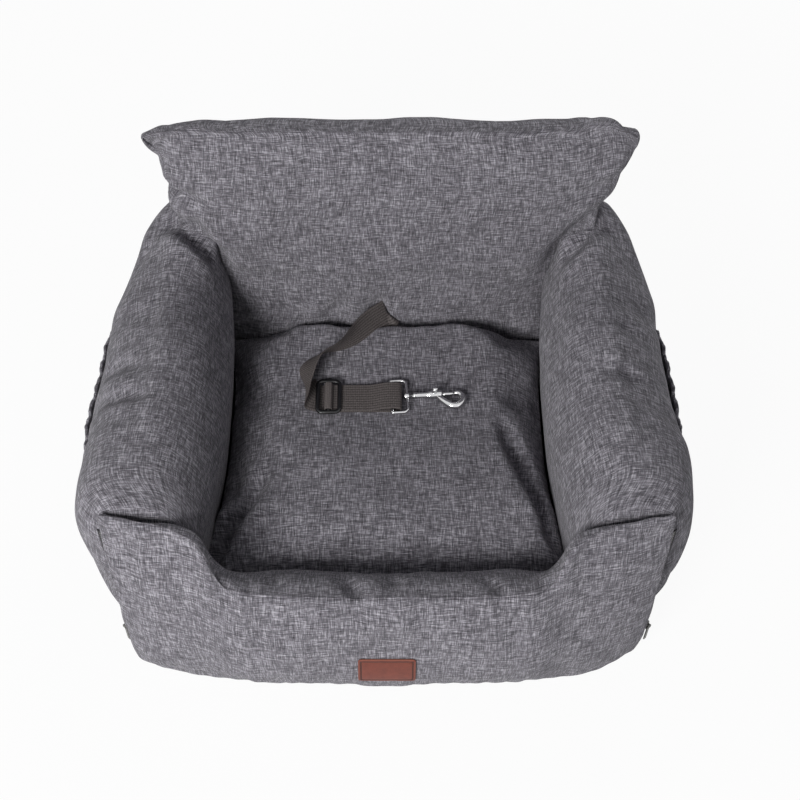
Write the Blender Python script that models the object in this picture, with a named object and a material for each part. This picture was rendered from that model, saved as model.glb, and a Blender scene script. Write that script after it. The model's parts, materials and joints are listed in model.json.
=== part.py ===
"""Dog car seat: a tall back cushion, two stuffed side bolsters and a low front bolster round a seat
cushion, on a firm base, with a webbing tether that ends in a swivel snap hook.

Metres, +Z up, the dog looks out over the front at -Y. The origin is the middle of the footprint.
Every stuffed piece is a cloth cover, open at its zip or slit, round a separate fill.
"""
import math

import bmesh
import bpy
import numpy as np
from mathutils import Matrix, Vector

# Cloth and clearances
GAP = 0.0004                # between pieces that lie on each other
PRESS_GAP = 0.0012          # between cushions that press on each other
SEAM_GAP = 0.0020           # between the front bolster and the ends of the side bolsters
FABRIC = 0.0018             # a cover: woven cloth with its wadding
FILL_ROOM = 0.0045          # between a cover and the crown of its fill
OVERRUN = 0.0100            # how far a cutter runs past what it cuts

# Base
BASE_SKIN = 0.0025          # non-slip underside
BASE_MARGIN = 0.0060        # the underside stops short of the covers' edge
BASE_FOAM = 0.0420          # firm slab under the seat cushion
FOAM_MARGIN = 0.0060        # round the slab, inside the bolsters

# Front bolster
FRONT_FLOOR_Y = 0.2360      # floor line in front of the origin, at the middle
FRONT_SEAM_Y = 0.2280       # seam along the top edge, at the middle
FRONT_REAR_Y = 0.1620       # inner wall at the floor, towards the seat
FRONT_LEAN_SHARE = 0.120    # forward lean of that wall
CORNER_HEIGHT = 0.2190      # height of the seam at the outer corners
CROWN_RISE = 0.0180         # how far the top swells above its two edges
BULGE_REACH = 0.0450        # how far the face's control line stands out from its chord
BULGE_HEIGHT_SHARE = 0.38
FRONT_PLACE_SHARES = (0.00, 0.30, 0.50, 0.58, 0.70, 0.85, 1.00)
FLOOR_Y_SHARES = (1.000, 0.989, 0.970, 0.957, 0.938, 0.900, 0.862)
SEAM_Y_SHARES = (1.000, 0.993, 0.980, 0.950, 0.860, 0.807, 0.763)
SEAM_Z_SHARES = (0.717, 0.717, 0.722, 0.760, 0.905, 0.959, 1.000)
REAR_Z_SHARES = (0.594, 0.594, 0.594, 0.640, 0.880, 0.950, 0.986)
CROWN_SHARES = (1.00, 1.00, 0.90, 0.60, 0.33, 0.28, 0.22)
BULGE_SHARES = (1.00, 1.00, 0.97, 0.93, 0.88, 0.78, 0.66)
FRONT_RING_SHARES = (0.00, 0.12, 0.24, 0.36, 0.44, 0.51, 0.56, 0.60, 0.64, 0.67, 0.70, 0.76, 0.85,
                     0.93, 1.00)
REAR_TURN_SHARES = (0.60, 0.67)  # where the inner wall steps to the side bolster's end
FILL_RING_SHARES = (0.00, 0.24, 0.44, 0.51, 0.56, 0.60, 0.64, 0.67, 0.70, 0.76, 0.85, 1.00)

# Corner between the front and side bolsters
CORNER_FOOT_X = 0.2680      # half width of the front bolster at the floor
CORNER_LEAN_SHARE = 0.109   # outward lean of the front bolster's end
JOINT_FOOT_Y = 0.1880       # plane of the side bolsters' front ends, at the floor
JOINT_LEAN_SHARE = 0.140    # backward lean of that plane

# Side bolsters
SIDE_OUTER_X = 0.3240       # half width of the seat at its widest
WELL_HALF_WIDTH = 0.1760    # half width between the side bolsters
SIDE_HEIGHT = 0.2380
SIDE_REAR_Y = 0.2480
SIDE_SINK = 0.0120          # how much of the section is pressed flat on the base
SIDE_SQUARE = 2.35          # exponent of the section's superellipse
SIDE_PLACE_SHARES = (0.00, 0.08, 0.20, 0.45, 0.65, 0.80, 0.90, 1.00)
SIDE_OUTER_SHARES = (0.958, 0.985, 1.000, 0.985, 0.975, 0.945, 0.900, 0.810)
WELL_SHARES = (1.085, 1.060, 1.020, 1.000, 1.010, 1.040, 1.060, 1.100)
SIDE_TOP_SHARES = (0.935, 0.965, 0.985, 1.000, 1.000, 1.000, 1.010, 1.000)
SIDE_FULL_SHARES = (0.940, 1.000, 1.000, 1.000, 1.000, 1.000, 0.985, 0.780)
SIDE_RING_SHARES = (0.00, 0.035, 0.09, 0.17, 0.26, 0.36, 0.46, 0.56, 0.66, 0.75, 0.83, 0.90, 0.955, 1.00)
SIDE_POINTS = 20

# Seat cushion
SEAT_EDGE_LOW = 0.0140      # of its edge band, above its underside
SEAT_EDGE_HIGH = 0.0340
SEAT_CROWN = 0.0306         # above the edge band
SEAT_REAR_Y = 0.1812
SEAT_FRONT_Y = 0.1660
SEAT_CORNER_SHARE = 0.030   # how much the corners draw in
SEAT_GRID_SHARES = (0.00, 0.03, 0.10, 0.22, 0.38, 0.62, 0.78, 0.90, 0.97, 1.00)
SEAT_SLIT = 0.0080          # height of the slit that the pad goes in by
SEAT_SLIT_LENGTH = 0.2200

# Back cushion
BACK_SEAM_Z = 0.3960        # seam along the top front edge
BACK_FOOT_Y = 0.1865        # front face at the seat
BACK_TOP_Y = 0.1980         # front face at the top seam
BACK_CROWN = 0.0080
BACK_REAR_Y = 0.2475
BACK_SIDE_DRAW = 0.0130     # how much the faces draw in at the side edges
BACK_TOP_HALF = 0.2580      # half width at the flared corners
EDGE_PUSH_TOP = 0.0080      # the top edge swells above the seam
EDGE_PUSH_SIDE = 0.0040
BACK_ROW_SHARES = (0.00, 0.06, 0.14, 0.24, 0.35, 0.45, 0.52, 0.56, 0.59, 0.62, 0.67, 0.75, 0.83, 0.91,
                   0.965, 1.00)
BACK_COLUMN_SHARES = (0.00, 0.03, 0.10, 0.22, 0.40, 0.60, 0.78, 0.90, 0.97, 1.00)
BACK_FLARE_PLACE_SHARES = (0.00, 0.70, 0.80, 0.90, 0.965, 1.00)
BACK_FLARE_SHARES = (0.915, 0.915, 0.925, 0.975, 1.000, 0.965)
BACK_REAR_PLACE_SHARES = (0.00, 0.15, 0.32, 0.80, 1.00)
BACK_REAR_SHARES = (0.970, 0.970, 1.000, 1.000, 0.945)
BACK_CROWN_PLACE_SHARES = (0.00, 0.30, 0.55, 0.80, 1.00)
BACK_CROWN_SHARES = (0.00, 0.00, 1.00, 0.75, 0.00)

# Zips
TAPE = 0.0010               # thickness of the woven tape
TAPE_WIDTH = 0.0100
BEAD = 0.0060               # the teeth, as a bevel in the tape's corner or a rib on its middle
ZIP_SLIT = 0.0050
CORNER_ZIP_LOW = 0.0280
CORNER_ZIP_HIGH = 0.1850
SLIDER_WIDTH = 0.0080
SLIDER_LENGTH = 0.0110
SLIDER_BODY = 0.0030
LUG = 0.0012
LUG_LENGTH = 0.0030
PULL_PIN_RADIUS = 0.0006
PULL_HOLE_RADIUS = 0.0010
PULL_EYE_RADIUS = 0.0018
PULL_WIDTH = 0.0036
PULL_LENGTH = 0.0200
PULL_THICKNESS = 0.0014
BACK_ZIP_Z = 0.0330
BACK_ZIP_LENGTH = 0.2600
BACK_RIB = 0.0016           # the teeth stand this far above the back zip's tape
BACK_RIB_WIDTH = 0.0050

# Side pockets
POCKET_MIDDLE_Y = 0.0500
POCKET_LENGTH = 0.1700
POCKET_LOW = 0.0550
POCKET_LIP = 0.1500
POCKET_STANDOFF = 0.0120
POCKET_CLOTH = 0.0015
ELASTIC = 0.0009
ELASTIC_HEIGHT = 0.0070
ELASTIC_DROP = 0.0025
POCKET_GRID_SHARES = (0.00, 0.08, 0.20, 0.35, 0.50, 0.65, 0.80, 0.92, 1.00)
POCKET_ROW_SHARES = (0.00, 0.30, 0.60, 0.85, 1.00)

# Label
LABEL_WIDTH = 0.0600
LABEL_HEIGHT = 0.0400
LABEL_THICKNESS = 0.0016
LABEL_LOW = 0.0440
LABEL_CORNER = 0.0030
CORNER_STEPS = (0, 30, 60, 90)  # degrees round each corner of a plate
STITCH_INSET = 0.0030       # from the label's edge to the row of thread
THREAD_RADIUS = 0.0003

# Belt loops on the back
LOOP_WEBBING = 0.0380       # width
LOOP_THICKNESS = 0.0015
LOOP_STANDOFF = 0.0080
LOOP_PLACE_X = 0.1000
LOOP_LOW = 0.1750
LOOP_HEIGHT = 0.1100
LOOP_SHARES = ((0.00, 0.0), (0.14, 0.0), (0.21, 0.55), (0.29, 1.0), (0.50, 1.0), (0.71, 1.0),
               (0.79, 0.55), (0.86, 0.0), (1.00, 0.0))

# Tether webbing
WEBBING = 0.0380            # width
WEBBING_THICKNESS = 0.0014
STRAP_STEPS = 60
# The strap's middle line, from its seam down behind the seat cushion to the turn under the adjuster,
# and the way its width lies there.
STRAP_ROUTE = (
    ((0.0400, 0.18385, 0.0580), (1.00, 0.00, 0.00)),
    ((0.0290, 0.18385, 0.0740), (1.00, 0.00, 0.00)),
    ((0.0180, 0.18385, 0.0900), (1.00, 0.00, 0.00)),
    ((0.0105, 0.18345, 0.1010), (1.00, 0.00, 0.00)),
    ((0.0040, 0.18050, 0.1095), (1.00, -0.02, 0.02)),
    ((-0.0035, 0.17350, 0.1140), (0.99, -0.10, 0.06)),
    ((-0.0120, 0.16550, 0.1165), (0.93, -0.32, 0.16)),
    ((-0.0215, 0.15750, 0.1185), (0.80, -0.53, 0.28)),
    ((-0.0320, 0.14950, 0.1207), (0.65, -0.62, 0.44)),
    ((-0.0440, 0.14050, 0.1236), (0.53, -0.58, 0.62)),
    ((-0.0570, 0.13150, 0.1266), (0.42, -0.45, 0.79)),
    ((-0.0705, 0.12200, 0.1290), (0.32, -0.27, 0.90)),
    ((-0.0815, 0.11050, 0.1303), (0.12, -0.08, 0.98)),
    ((-0.0900, 0.09900, 0.1305), (-0.10, 0.02, 0.99)),
    ((-0.0955, 0.08800, 0.1298), (-0.36, 0.02, 0.93)),
    ((-0.0980, 0.07850, 0.1270), (-0.55, -0.25, 0.80)),
    ((-0.0965, 0.07100, 0.1226), (-0.50, -0.62, 0.60)),
    ((-0.0920, 0.06680, 0.1168), (-0.25, -0.92, 0.29)),
    ((-0.0862, 0.06530, 0.1127), (-0.05, -1.00, 0.04)),
    ((-0.0790, 0.06500, 0.1113), (0.00, -1.00, 0.00)),
    ((-0.0640, 0.06500, 0.1113), (0.00, -1.00, 0.00)),
    ((-0.0480, 0.06500, 0.1113), (0.00, -1.00, 0.00)),
    ((-0.0300, 0.06500, 0.1113), (0.00, -1.00, 0.00)),
    ((-0.0100, 0.06500, 0.1113), (0.00, -1.00, 0.00)),
    ((0.0100, 0.06500, 0.1113), (0.00, -1.00, 0.00)),
)
# The doubled run, from the turn past the snap's bar back to the adjuster.
LOOP_ROUTE = (
    (0.0110, 0.0650, 0.1113), (0.0146, 0.0650, 0.1122), (0.0162, 0.0650, 0.1148), (0.0146, 0.0650, 0.1172),
    (0.0105, 0.0650, 0.1180), (0.0045, 0.0650, 0.1181), (-0.0040, 0.0650, 0.1172), (-0.0120, 0.0650, 0.1150),
    (-0.0190, 0.0650, 0.1134), (-0.0270, 0.0650, 0.1131), (-0.0400, 0.0650, 0.1131),
    (-0.0530, 0.0650, 0.1131),
    (-0.0655, 0.0650, 0.1131),
)

# Adjuster on the tether
SLIDE_PLACE = Vector((-0.0660, 0.0650, 0.1142))  # middle of its underside
SLIDE_LENGTH = 0.0290
SLIDE_BAR = 0.0036
SLIDE_THICKNESS = 0.0030
SLIDE_SLOT = 0.0400
SLIDE_CORNER = 0.0040

# Snap hook
SNAP_PLACE = Vector((0.0045, 0.0650, 0.1148))    # middle of the eye's bar
SNAP_YAW = math.radians(4.0)
WIRE_RADIUS = 0.0017
EYE_HALF_WIDTH = 0.0226
EYE_SHOULDER = 0.0125       # where the legs start to turn in
EYE_DEPTH = 0.0180
BOSS_RADIUS = 0.0036
BOSS_LENGTH = 0.0050
RUN_CLEARANCE = 0.0004      # round a turning or sliding pin
STEM_RADIUS = 0.0018
STEM_HEAD_RADIUS = 0.0030
STEM_HEAD_LENGTH = 0.0015
BARREL_START = 0.0265
BARREL_END = 0.0580
BARREL_RADIUS = 0.0042
BORE_RADIUS = 0.0024
BORE_END_WALL = 0.0020
BOLT_RADIUS = 0.0020
BOLT_INSIDE = 0.0120        # length of the bolt inside the barrel
BOLT_END = 0.0690
BOLT_TRAVEL = 0.0090
KNOB_PLACE = 0.0505
KNOB_RADIUS = 0.0017
KNOB_HEIGHT = 0.0115
HOOK_RADIUS = 0.0026
HOOK_ROUTE = ((0.0530, -0.0025), (0.0575, -0.0075), (0.0630, -0.0130), (0.0690, -0.0172), (0.0745, -0.0172),
              (0.0790, -0.0135), (0.0810, -0.0080), (0.0795, -0.0020), (0.0752, 0.0008), (0.0722, 0.0008))
SPRING_TURNS = 8
SPRING_WIRE = 0.0003
SPRING_RADIUS = 0.0017

COLOURS = {
    "cloth": ((0.165, 0.160, 0.170, 1.0), 0.90, 0.0),
    "underside": ((0.030, 0.030, 0.032, 1.0), 0.80, 0.0),
    "foam": ((0.520, 0.500, 0.420, 1.0), 0.95, 0.0),
    "fibre": ((0.800, 0.790, 0.760, 1.0), 0.95, 0.0),
    "webbing": ((0.075, 0.062, 0.056, 1.0), 0.75, 0.0),
    "elastic": ((0.100, 0.095, 0.100, 1.0), 0.85, 0.0),
    "zip_tape": ((0.070, 0.068, 0.072, 1.0), 0.80, 0.0),
    "zip_metal": ((0.180, 0.175, 0.170, 1.0), 0.35, 1.0),
    "leather": ((0.290, 0.085, 0.050, 1.0), 0.55, 0.0),
    "thread": ((0.090, 0.030, 0.020, 1.0), 0.80, 0.0),
    "black_plastic": ((0.008, 0.008, 0.009, 1.0), 0.25, 0.0),
    "chrome": ((0.780, 0.780, 0.790, 1.0), 0.12, 1.0),
    "spring_steel": ((0.500, 0.500, 0.510, 1.0), 0.30, 1.0),
}
BASE_TOP = BASE_SKIN + GAP
FOAM_TOP = BASE_TOP + BASE_FOAM
SEAT_LOW = FOAM_TOP + GAP


def clear_scene():
    for thing in list(bpy.data.objects):
        bpy.data.objects.remove(thing, do_unlink=True)


def material(slot):
    """The sub-part's material: a Principled surface with its colour, roughness and metallic value."""
    if slot in bpy.data.materials:
        return bpy.data.materials[slot]
    colour, roughness, metallic = COLOURS[slot]
    made = bpy.data.materials.new(slot)
    made.use_nodes = True
    surface = made.node_tree.nodes["Principled BSDF"]
    surface.inputs["Base Color"].default_value = colour
    surface.inputs["Roughness"].default_value = roughness
    surface.inputs["Metallic"].default_value = metallic
    made.diffuse_color = colour
    return made


def finish(name, bm, slot, place=None, smooth=False):
    """Turn a bmesh into a named object, its mesh in the object's own frame."""
    mesh = bpy.data.meshes.new(name)
    bm.to_mesh(mesh)
    bm.free()
    if smooth:
        mesh.shade_smooth()
        mesh.set_sharp_from_angle(angle=math.radians(40))
    thing = bpy.data.objects.new(name, mesh)
    bpy.context.scene.collection.objects.link(thing)
    if place is not None:
        thing.matrix_world = place
    mesh.materials.append(material(slot))
    return thing


def guide(name, bm, place=None):
    """An object that only cuts or joins: hidden in renders and drawn as wire."""
    thing = finish(name, bm, "thread", place)
    thing.hide_render = True
    thing.display_type = "WIRE"
    return thing


def combine(thing, operation, other):
    step = thing.modifiers.new(other.name, "BOOLEAN")
    step.operation = operation
    step.object = other


def level_slopes(shares, values):
    """Slopes that never let a curve overshoot its hand-placed values."""
    rise = np.diff(values) / np.diff(shares)
    before, after = rise[:-1], rise[1:]
    same = before * after > 0
    inner = np.where(same, 2 * before * after / np.where(same, before + after, 1), 0)
    return np.concatenate([rise[:1], inner, rise[-1:]])


def through(shares, values, at, free=False):
    """A smooth curve through hand-placed values: cubic pieces that share their slopes."""
    shares, values = np.asarray(shares, float), np.asarray(values, float)
    at = np.clip(np.asarray(at, float), shares[0], shares[-1])
    slopes = np.gradient(values, shares) if free else level_slopes(shares, values)
    low = np.clip(np.searchsorted(shares, at, side="right") - 1, 0, len(shares) - 2)
    step = shares[low + 1] - shares[low]
    t = (at - shares[low]) / step
    return ((1 + 2 * t) * (1 - t) ** 2 * values[low] + t * (1 - t) ** 2 * step * slopes[low]
            + t * t * (3 - 2 * t) * values[low + 1] + t * t * (t - 1) * step * slopes[low + 1])


def ease(start, end, x):
    """0 before start, 1 after end, and an S curve between."""
    t = np.clip((np.asarray(x, float) - start) / (end - start), 0, 1)
    return t * t * (3 - 2 * t)


def drawn_in(outline, depth):
    """A closed 2-D outline moved inwards by depth, square to its edges."""
    ahead = np.roll(outline, -1, 0) - outline
    ahead = ahead / np.maximum(np.linalg.norm(ahead, axis=1), GAP * GAP)[:, None]
    area = np.sum(outline[:, 0] * np.roll(outline[:, 1], -1) - outline[:, 1] * np.roll(outline[:, 0], -1))
    inward = np.stack([-ahead[:, 1], ahead[:, 0]], 1) * np.sign(area)
    both = inward + np.roll(inward, 1, 0)
    both = both / np.linalg.norm(both, axis=1)[:, None]
    turn = np.clip(np.sum(both * inward, axis=1), 0.6, 1)
    return outline + both * (depth / turn)[:, None]


def add_shell(bm, build, inward=False):
    """Add one closed shell and make its faces point out of it, or into it for a cavity."""
    before = set(bm.faces)
    build(bm)
    made = [face for face in bm.faces if face not in before]
    bmesh.ops.recalc_face_normals(bm, faces=made)
    held = sum(face.verts[0].co.dot(one.co.cross(two.co))
               for face in made for one, two in zip(face.verts[1:], face.verts[2:]))
    if (held < 0) != inward:
        bmesh.ops.reverse_faces(bm, faces=made)


def tube(rings):
    """Builder of a closed body through rings of points, with a flat cap on each end."""
    def build(bm):
        lines = [[bm.verts.new(point) for point in ring] for ring in rings]
        for one, two in zip(lines, lines[1:]):
            for j in range(len(one)):
                k = (j + 1) % len(one)
                bm.faces.new((one[j], one[k], two[k], two[j]))
        bm.faces.new(lines[0])
        bm.faces.new(lines[-1])
    return build


def border(grid):
    """The points round the edge of a grid, once round."""
    return [*grid[0], *[row[-1] for row in grid[1:-1]], *grid[-1][::-1], *[row[0] for row in grid[-2:0:-1]]]


def pillow(faces, edge=None):
    """Builder of a closed body of two grids of points, joined round their borders by way of an edge line."""
    def build(bm):
        grids = [[[bm.verts.new(point) for point in row] for row in face] for face in faces]
        for grid in grids:
            for low, high in zip(grid, grid[1:]):
                for j in range(len(low) - 1):
                    bm.faces.new((low[j], low[j + 1], high[j + 1], high[j]))
        lines = [border(grids[0]), border(grids[1])]
        if edge is not None:
            lines.insert(1, [bm.verts.new(point) for point in edge])
        for one, two in zip(lines, lines[1:]):
            for j in range(len(one)):
                k = (j + 1) % len(one)
                bm.faces.new((one[j], one[k], two[k], two[j]))
    return build


def solid(name, build, slot, smooth=True):
    bm = bmesh.new()
    add_shell(bm, build)
    return finish(name, bm, slot, smooth=smooth)


def cover(name, outer, cavity, cutter):
    """A cloth cover: a shell with a cavity, opened by a cutter through its wall."""
    bm = bmesh.new()
    add_shell(bm, outer)
    add_shell(bm, cavity, inward=True)
    thing = finish(name, bm, "cloth", smooth=True)
    combine(thing, "DIFFERENCE", cutter)
    return thing


def add_box(bm, low, high):
    """A box between two corners, with its faces pointing out."""
    made = bmesh.ops.create_cube(bm, size=1)["verts"]
    low, high = Vector(low), Vector(high)
    for vert in made:
        vert.co = Vector(low[k] + (high[k] - low[k]) * (vert.co[k] + 0.5) for k in range(3))


def box(name, low, high, slot, place=None):
    bm = bmesh.new()
    add_box(bm, low, high)
    return finish(name, bm, slot, place)


def box_guide(name, low, high, place=None):
    bm = bmesh.new()
    add_box(bm, low, high)
    return guide(name, bm, place)


def add_cylinder(bm, start, end, radius, sides=16):
    """A round bar between two points."""
    start, end = Vector(start), Vector(end)
    turn = (end - start).to_track_quat("Z", "Y").to_matrix().to_4x4()
    bmesh.ops.create_cone(bm, cap_ends=True, segments=sides, radius1=radius, radius2=radius,
                          depth=(end - start).length, matrix=Matrix.Translation((start + end) / 2) @ turn)


def swept(points, radius, sides, closed=False):
    """Rings of a round wire along points, carried without twisting."""
    points = [Vector(p) for p in points]
    count = len(points)
    rings, side = [], None
    for i, point in enumerate(points):
        if closed:
            ahead = points[(i + 1) % count] - points[i - 1]
        else:
            ahead = points[min(i + 1, count - 1)] - points[max(i - 1, 0)]
        ahead.normalize()
        side = ahead.orthogonal() if side is None else side - ahead * side.dot(ahead)
        side.normalize()
        up = ahead.cross(side)
        rings.append([point + radius * (side * math.cos(a) + up * math.sin(a))
                      for a in (2 * math.pi * k / sides for k in range(sides))])
    return rings


def wire(points, radius, sides, closed=False):
    """Builder of a round wire: open with flat ends, or closed on itself."""
    rings = swept(points, radius, sides, closed)
    if not closed:
        return tube(rings)

    def build(bm):
        lines = [[bm.verts.new(p) for p in ring] for ring in rings]
        for i, one in enumerate(lines):
            two = lines[(i + 1) % len(lines)]
            for j in range(sides):
                k = (j + 1) % sides
                bm.faces.new((one[j], one[k], two[k], two[j]))
    return build


def smooth_route(points, steps):
    """Points at even steps along a smooth curve through a route's own points."""
    points = np.array(points, float)
    along = np.concatenate([[0], np.cumsum(np.linalg.norm(np.diff(points[:, :3], axis=0), axis=1))])
    at = np.linspace(0, along[-1], steps)
    return np.stack([through(along, points[:, k], at, free=True) for k in range(points.shape[1])], 1)


# Corner planes

def corner_x(z):
    """Half width of the front bolster's end at a height."""
    return CORNER_FOOT_X + CORNER_LEAN_SHARE * np.asarray(z, float)


def joint_y(z):
    """The plane where the front bolster and the side bolsters meet."""
    return -JOINT_FOOT_Y + JOINT_LEAN_SHARE * np.asarray(z, float)


# Front bolster

def front_rear_y(share, z, depth=0):
    """The front bolster's inner wall: straight across the seat, stepping to the joint plane at the corners.

    Inside the cloth, the foremost wall within depth to either side counts, so that the cloth keeps
    its thickness.
    """
    walls = []
    for shift in (-depth, 0, depth):
        turned = ease(*REAR_TURN_SHARES, share + shift / CORNER_FOOT_X)
        walls.append(-(FRONT_REAR_Y + FRONT_LEAN_SHARE * z) * (1 - turned) + joint_y(z) * turned)
    return np.min(walls, axis=0)


def front_outline(share, depth=0):
    """The front bolster's section at a share of its half width, as (y, z) points once round."""
    def at(shares):
        return float(through(FRONT_PLACE_SHARES, shares, share))
    foot = np.array([-FRONT_FLOOR_Y * at(FLOOR_Y_SHARES), BASE_TOP])
    seam = np.array([-FRONT_SEAM_Y * at(SEAM_Y_SHARES), CORNER_HEIGHT * at(SEAM_Z_SHARES)])
    out = np.array([(foot[0] + seam[0]) / 2 - BULGE_REACH * at(BULGE_SHARES), seam[1] * BULGE_HEIGHT_SHARE])
    rear_z = CORNER_HEIGHT * at(REAR_Z_SHARES)
    rear = np.array([float(front_rear_y(share, rear_z, depth)), rear_z])
    t = np.linspace(0, 1, 7)[:, None]
    face = (1 - t) ** 2 * foot + 2 * t * (1 - t) * out + t * t * seam
    t = np.linspace(0, 1, 5)[1:, None]
    top = seam + (rear - seam) * t
    top[:, 1:] += CROWN_RISE * at(CROWN_SHARES) * 4 * t * (1 - t)
    heights = rear_z + (BASE_TOP - rear_z) * np.linspace(0, 1, 4)[1:]
    wall = np.stack([front_rear_y(share, heights, depth), heights], 1)
    return np.concatenate([face, top, wall])


def front_rings(shares, depth, floor):
    """Rings of the front bolster, drawn in by depth and resting on floor."""
    rings = []
    for share in shares:
        outline = front_outline(abs(share), depth)
        if depth:
            outline = drawn_in(outline, depth)
        outline[:, 1] = np.maximum(outline[:, 1], floor)
        outline[[0, -1], 1] = floor
        x = share * (corner_x(outline[:, 1]) - depth)
        rings.append(np.stack([x, outline[:, 0], outline[:, 1]], 1))
    return rings


def both_ways(shares):
    """Shares of a half, mirrored to the other half."""
    return [-share for share in shares[:0:-1]] + list(shares)


def corner_place(side):
    """Foot of the corner zip's line, its upward direction and its outward direction."""
    def spot(z):
        return Vector((side * (float(corner_x(z)) + GAP), float(joint_y(z)) + SEAM_GAP - GAP, z))
    low, high = spot(CORNER_ZIP_LOW), spot(CORNER_ZIP_HIGH)
    up = (high - low).normalized()
    out = Vector((side, -1, 0))
    out = (out - up * out.dot(up)).normalized()
    return low, high, up, out


def front_bolster():
    slit = TAPE_WIDTH / 2
    bm = bmesh.new()
    for side in (-1, 1):
        low, high, up, _ = corner_place(side)
        lower, upper = low + up * slit, high - up * slit
        middle = [point - Vector((side * GAP, slit, 0)) for point in (lower, upper)]
        rings = [[point + Vector((side * x, y, 0)) for x, y in
                  ((-FABRIC * 2, -ZIP_SLIT / 2), (OVERRUN, -ZIP_SLIT / 2), (OVERRUN, ZIP_SLIT / 2),
                   (-FABRIC * 2, ZIP_SLIT / 2))] for point in middle]
        add_shell(bm, tube(rings))
    cutter = guide("front_slit_cutter", bm)
    shares = both_ways(FRONT_RING_SHARES)
    cover("front_bolster_cover", tube(front_rings(shares, 0, BASE_TOP)),
          tube(front_rings(shares, FABRIC, BASE_TOP + FABRIC)), cutter)
    solid("front_bolster_fill",
          tube(front_rings(both_ways(FILL_RING_SHARES), FABRIC + FILL_ROOM,
                           BASE_TOP + FABRIC + GAP)), "fibre")


# Side bolsters

def side_section(share):
    """Middle, half sizes and lower edge of the side bolster's section at a share of its length."""
    full = through(SIDE_PLACE_SHARES, SIDE_FULL_SHARES, share)
    outer = SIDE_OUTER_X * through(SIDE_PLACE_SHARES, SIDE_OUTER_SHARES, share)
    inner = WELL_HALF_WIDTH * through(SIDE_PLACE_SHARES, WELL_SHARES, share)
    top = SIDE_HEIGHT * through(SIDE_PLACE_SHARES, SIDE_TOP_SHARES, share)
    low = BASE_TOP - SIDE_SINK
    return (outer + inner) / 2, full * (outer - inner) / 2, (top + low) / 2, full * (top - low) / 2


def side_reach(share, z):
    """Half width of the section at a height, and its middle."""
    middle, half, centre, tall = side_section(share)
    up = np.clip(np.abs(np.asarray(z, float) - centre) / tall, 0, 1)
    return middle, half * (1 - up ** SIDE_SQUARE) ** (1 / SIDE_SQUARE)


def side_share(y, z):
    """The share of the side bolster's length at a place."""
    start = joint_y(z) + SEAM_GAP
    return np.clip((y - start) / (SIDE_REAR_Y - start), 0, 1)


def well_half(y, z):
    """Half width between the side bolsters at a place; nothing stands there above their tops."""
    middle, half = side_reach(side_share(y, z), z)
    return middle - half


def side_rings(side, shares, depth, floor, points):
    rings = []
    turn = 2 * np.pi * (np.arange(points) + 0.5) / points
    for share in shares:
        middle, half, centre, tall = side_section(share)
        across, up = np.cos(turn), np.sin(turn)
        outline = np.stack([middle + half * np.sign(across) * np.abs(across) ** (2 / SIDE_SQUARE),
                            centre + tall * np.sign(up) * np.abs(up) ** (2 / SIDE_SQUARE)], 1)
        if depth:
            outline = drawn_in(outline, depth)
        outline[:, 1] = np.maximum(outline[:, 1], floor)
        start = joint_y(outline[:, 1]) + SEAM_GAP + depth
        y = start + share * (SIDE_REAR_Y - depth - start)
        rings.append(np.stack([side * outline[:, 0], y, outline[:, 1]], 1))
    return rings


def side_bolster(name, side):
    low, high, up, _ = corner_place(side)
    inset = TAPE_WIDTH / 2
    lower, upper = low + up * inset, high - up * inset
    rings = [[point + Vector((side * x, y, 0)) for x, y in
              ((inset - ZIP_SLIT / 2, -OVERRUN), (inset + ZIP_SLIT / 2, -OVERRUN),
               (inset + ZIP_SLIT / 2, FABRIC * 2), (inset - ZIP_SLIT / 2, FABRIC * 2))]
             for point in (lower, upper)]
    bm = bmesh.new()
    add_shell(bm, tube(rings))
    cutter = guide(name + "_slit_cutter", bm)
    cover(name + "_bolster_cover", tube(side_rings(side, SIDE_RING_SHARES, 0, BASE_TOP, SIDE_POINTS)),
          tube(side_rings(side, SIDE_RING_SHARES, FABRIC, BASE_TOP + FABRIC, SIDE_POINTS)), cutter)
    solid(name + "_bolster_fill",
          tube(side_rings(side, SIDE_RING_SHARES[::3] + SIDE_RING_SHARES[-1:], FABRIC + FILL_ROOM,
                          BASE_TOP + FABRIC + GAP, SIDE_POINTS // 2)), "fibre")


# Seat cushion

def seat_faces(shares, depth):
    """Top and bottom grids of the seat cushion and its edge line, drawn in by depth."""
    u, v = np.meshgrid(2 * np.asarray(shares) - 1, 2 * np.asarray(shares) - 1)
    front, rear = -SEAT_FRONT_Y + depth, SEAT_REAR_Y - depth
    y = (front + rear) / 2 + v * (rear - front) / 2 * (1 - SEAT_CORNER_SHARE * u ** 8)
    half = well_half(y, SEAT_LOW + SEAT_EDGE_HIGH + SEAT_CROWN) - PRESS_GAP - depth
    x = u * half * (1 - SEAT_CORNER_SHARE * v ** 8)
    swell = np.sqrt((1 - u ** 6) * (1 - v ** 6))
    top = SEAT_LOW + SEAT_EDGE_HIGH - depth + SEAT_CROWN * swell
    bottom = np.maximum(SEAT_LOW + SEAT_EDGE_LOW + depth - SEAT_CROWN * swell, SEAT_LOW + depth)
    return np.stack([x, y, top], 2), np.stack([x, y, bottom], 2)


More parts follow.
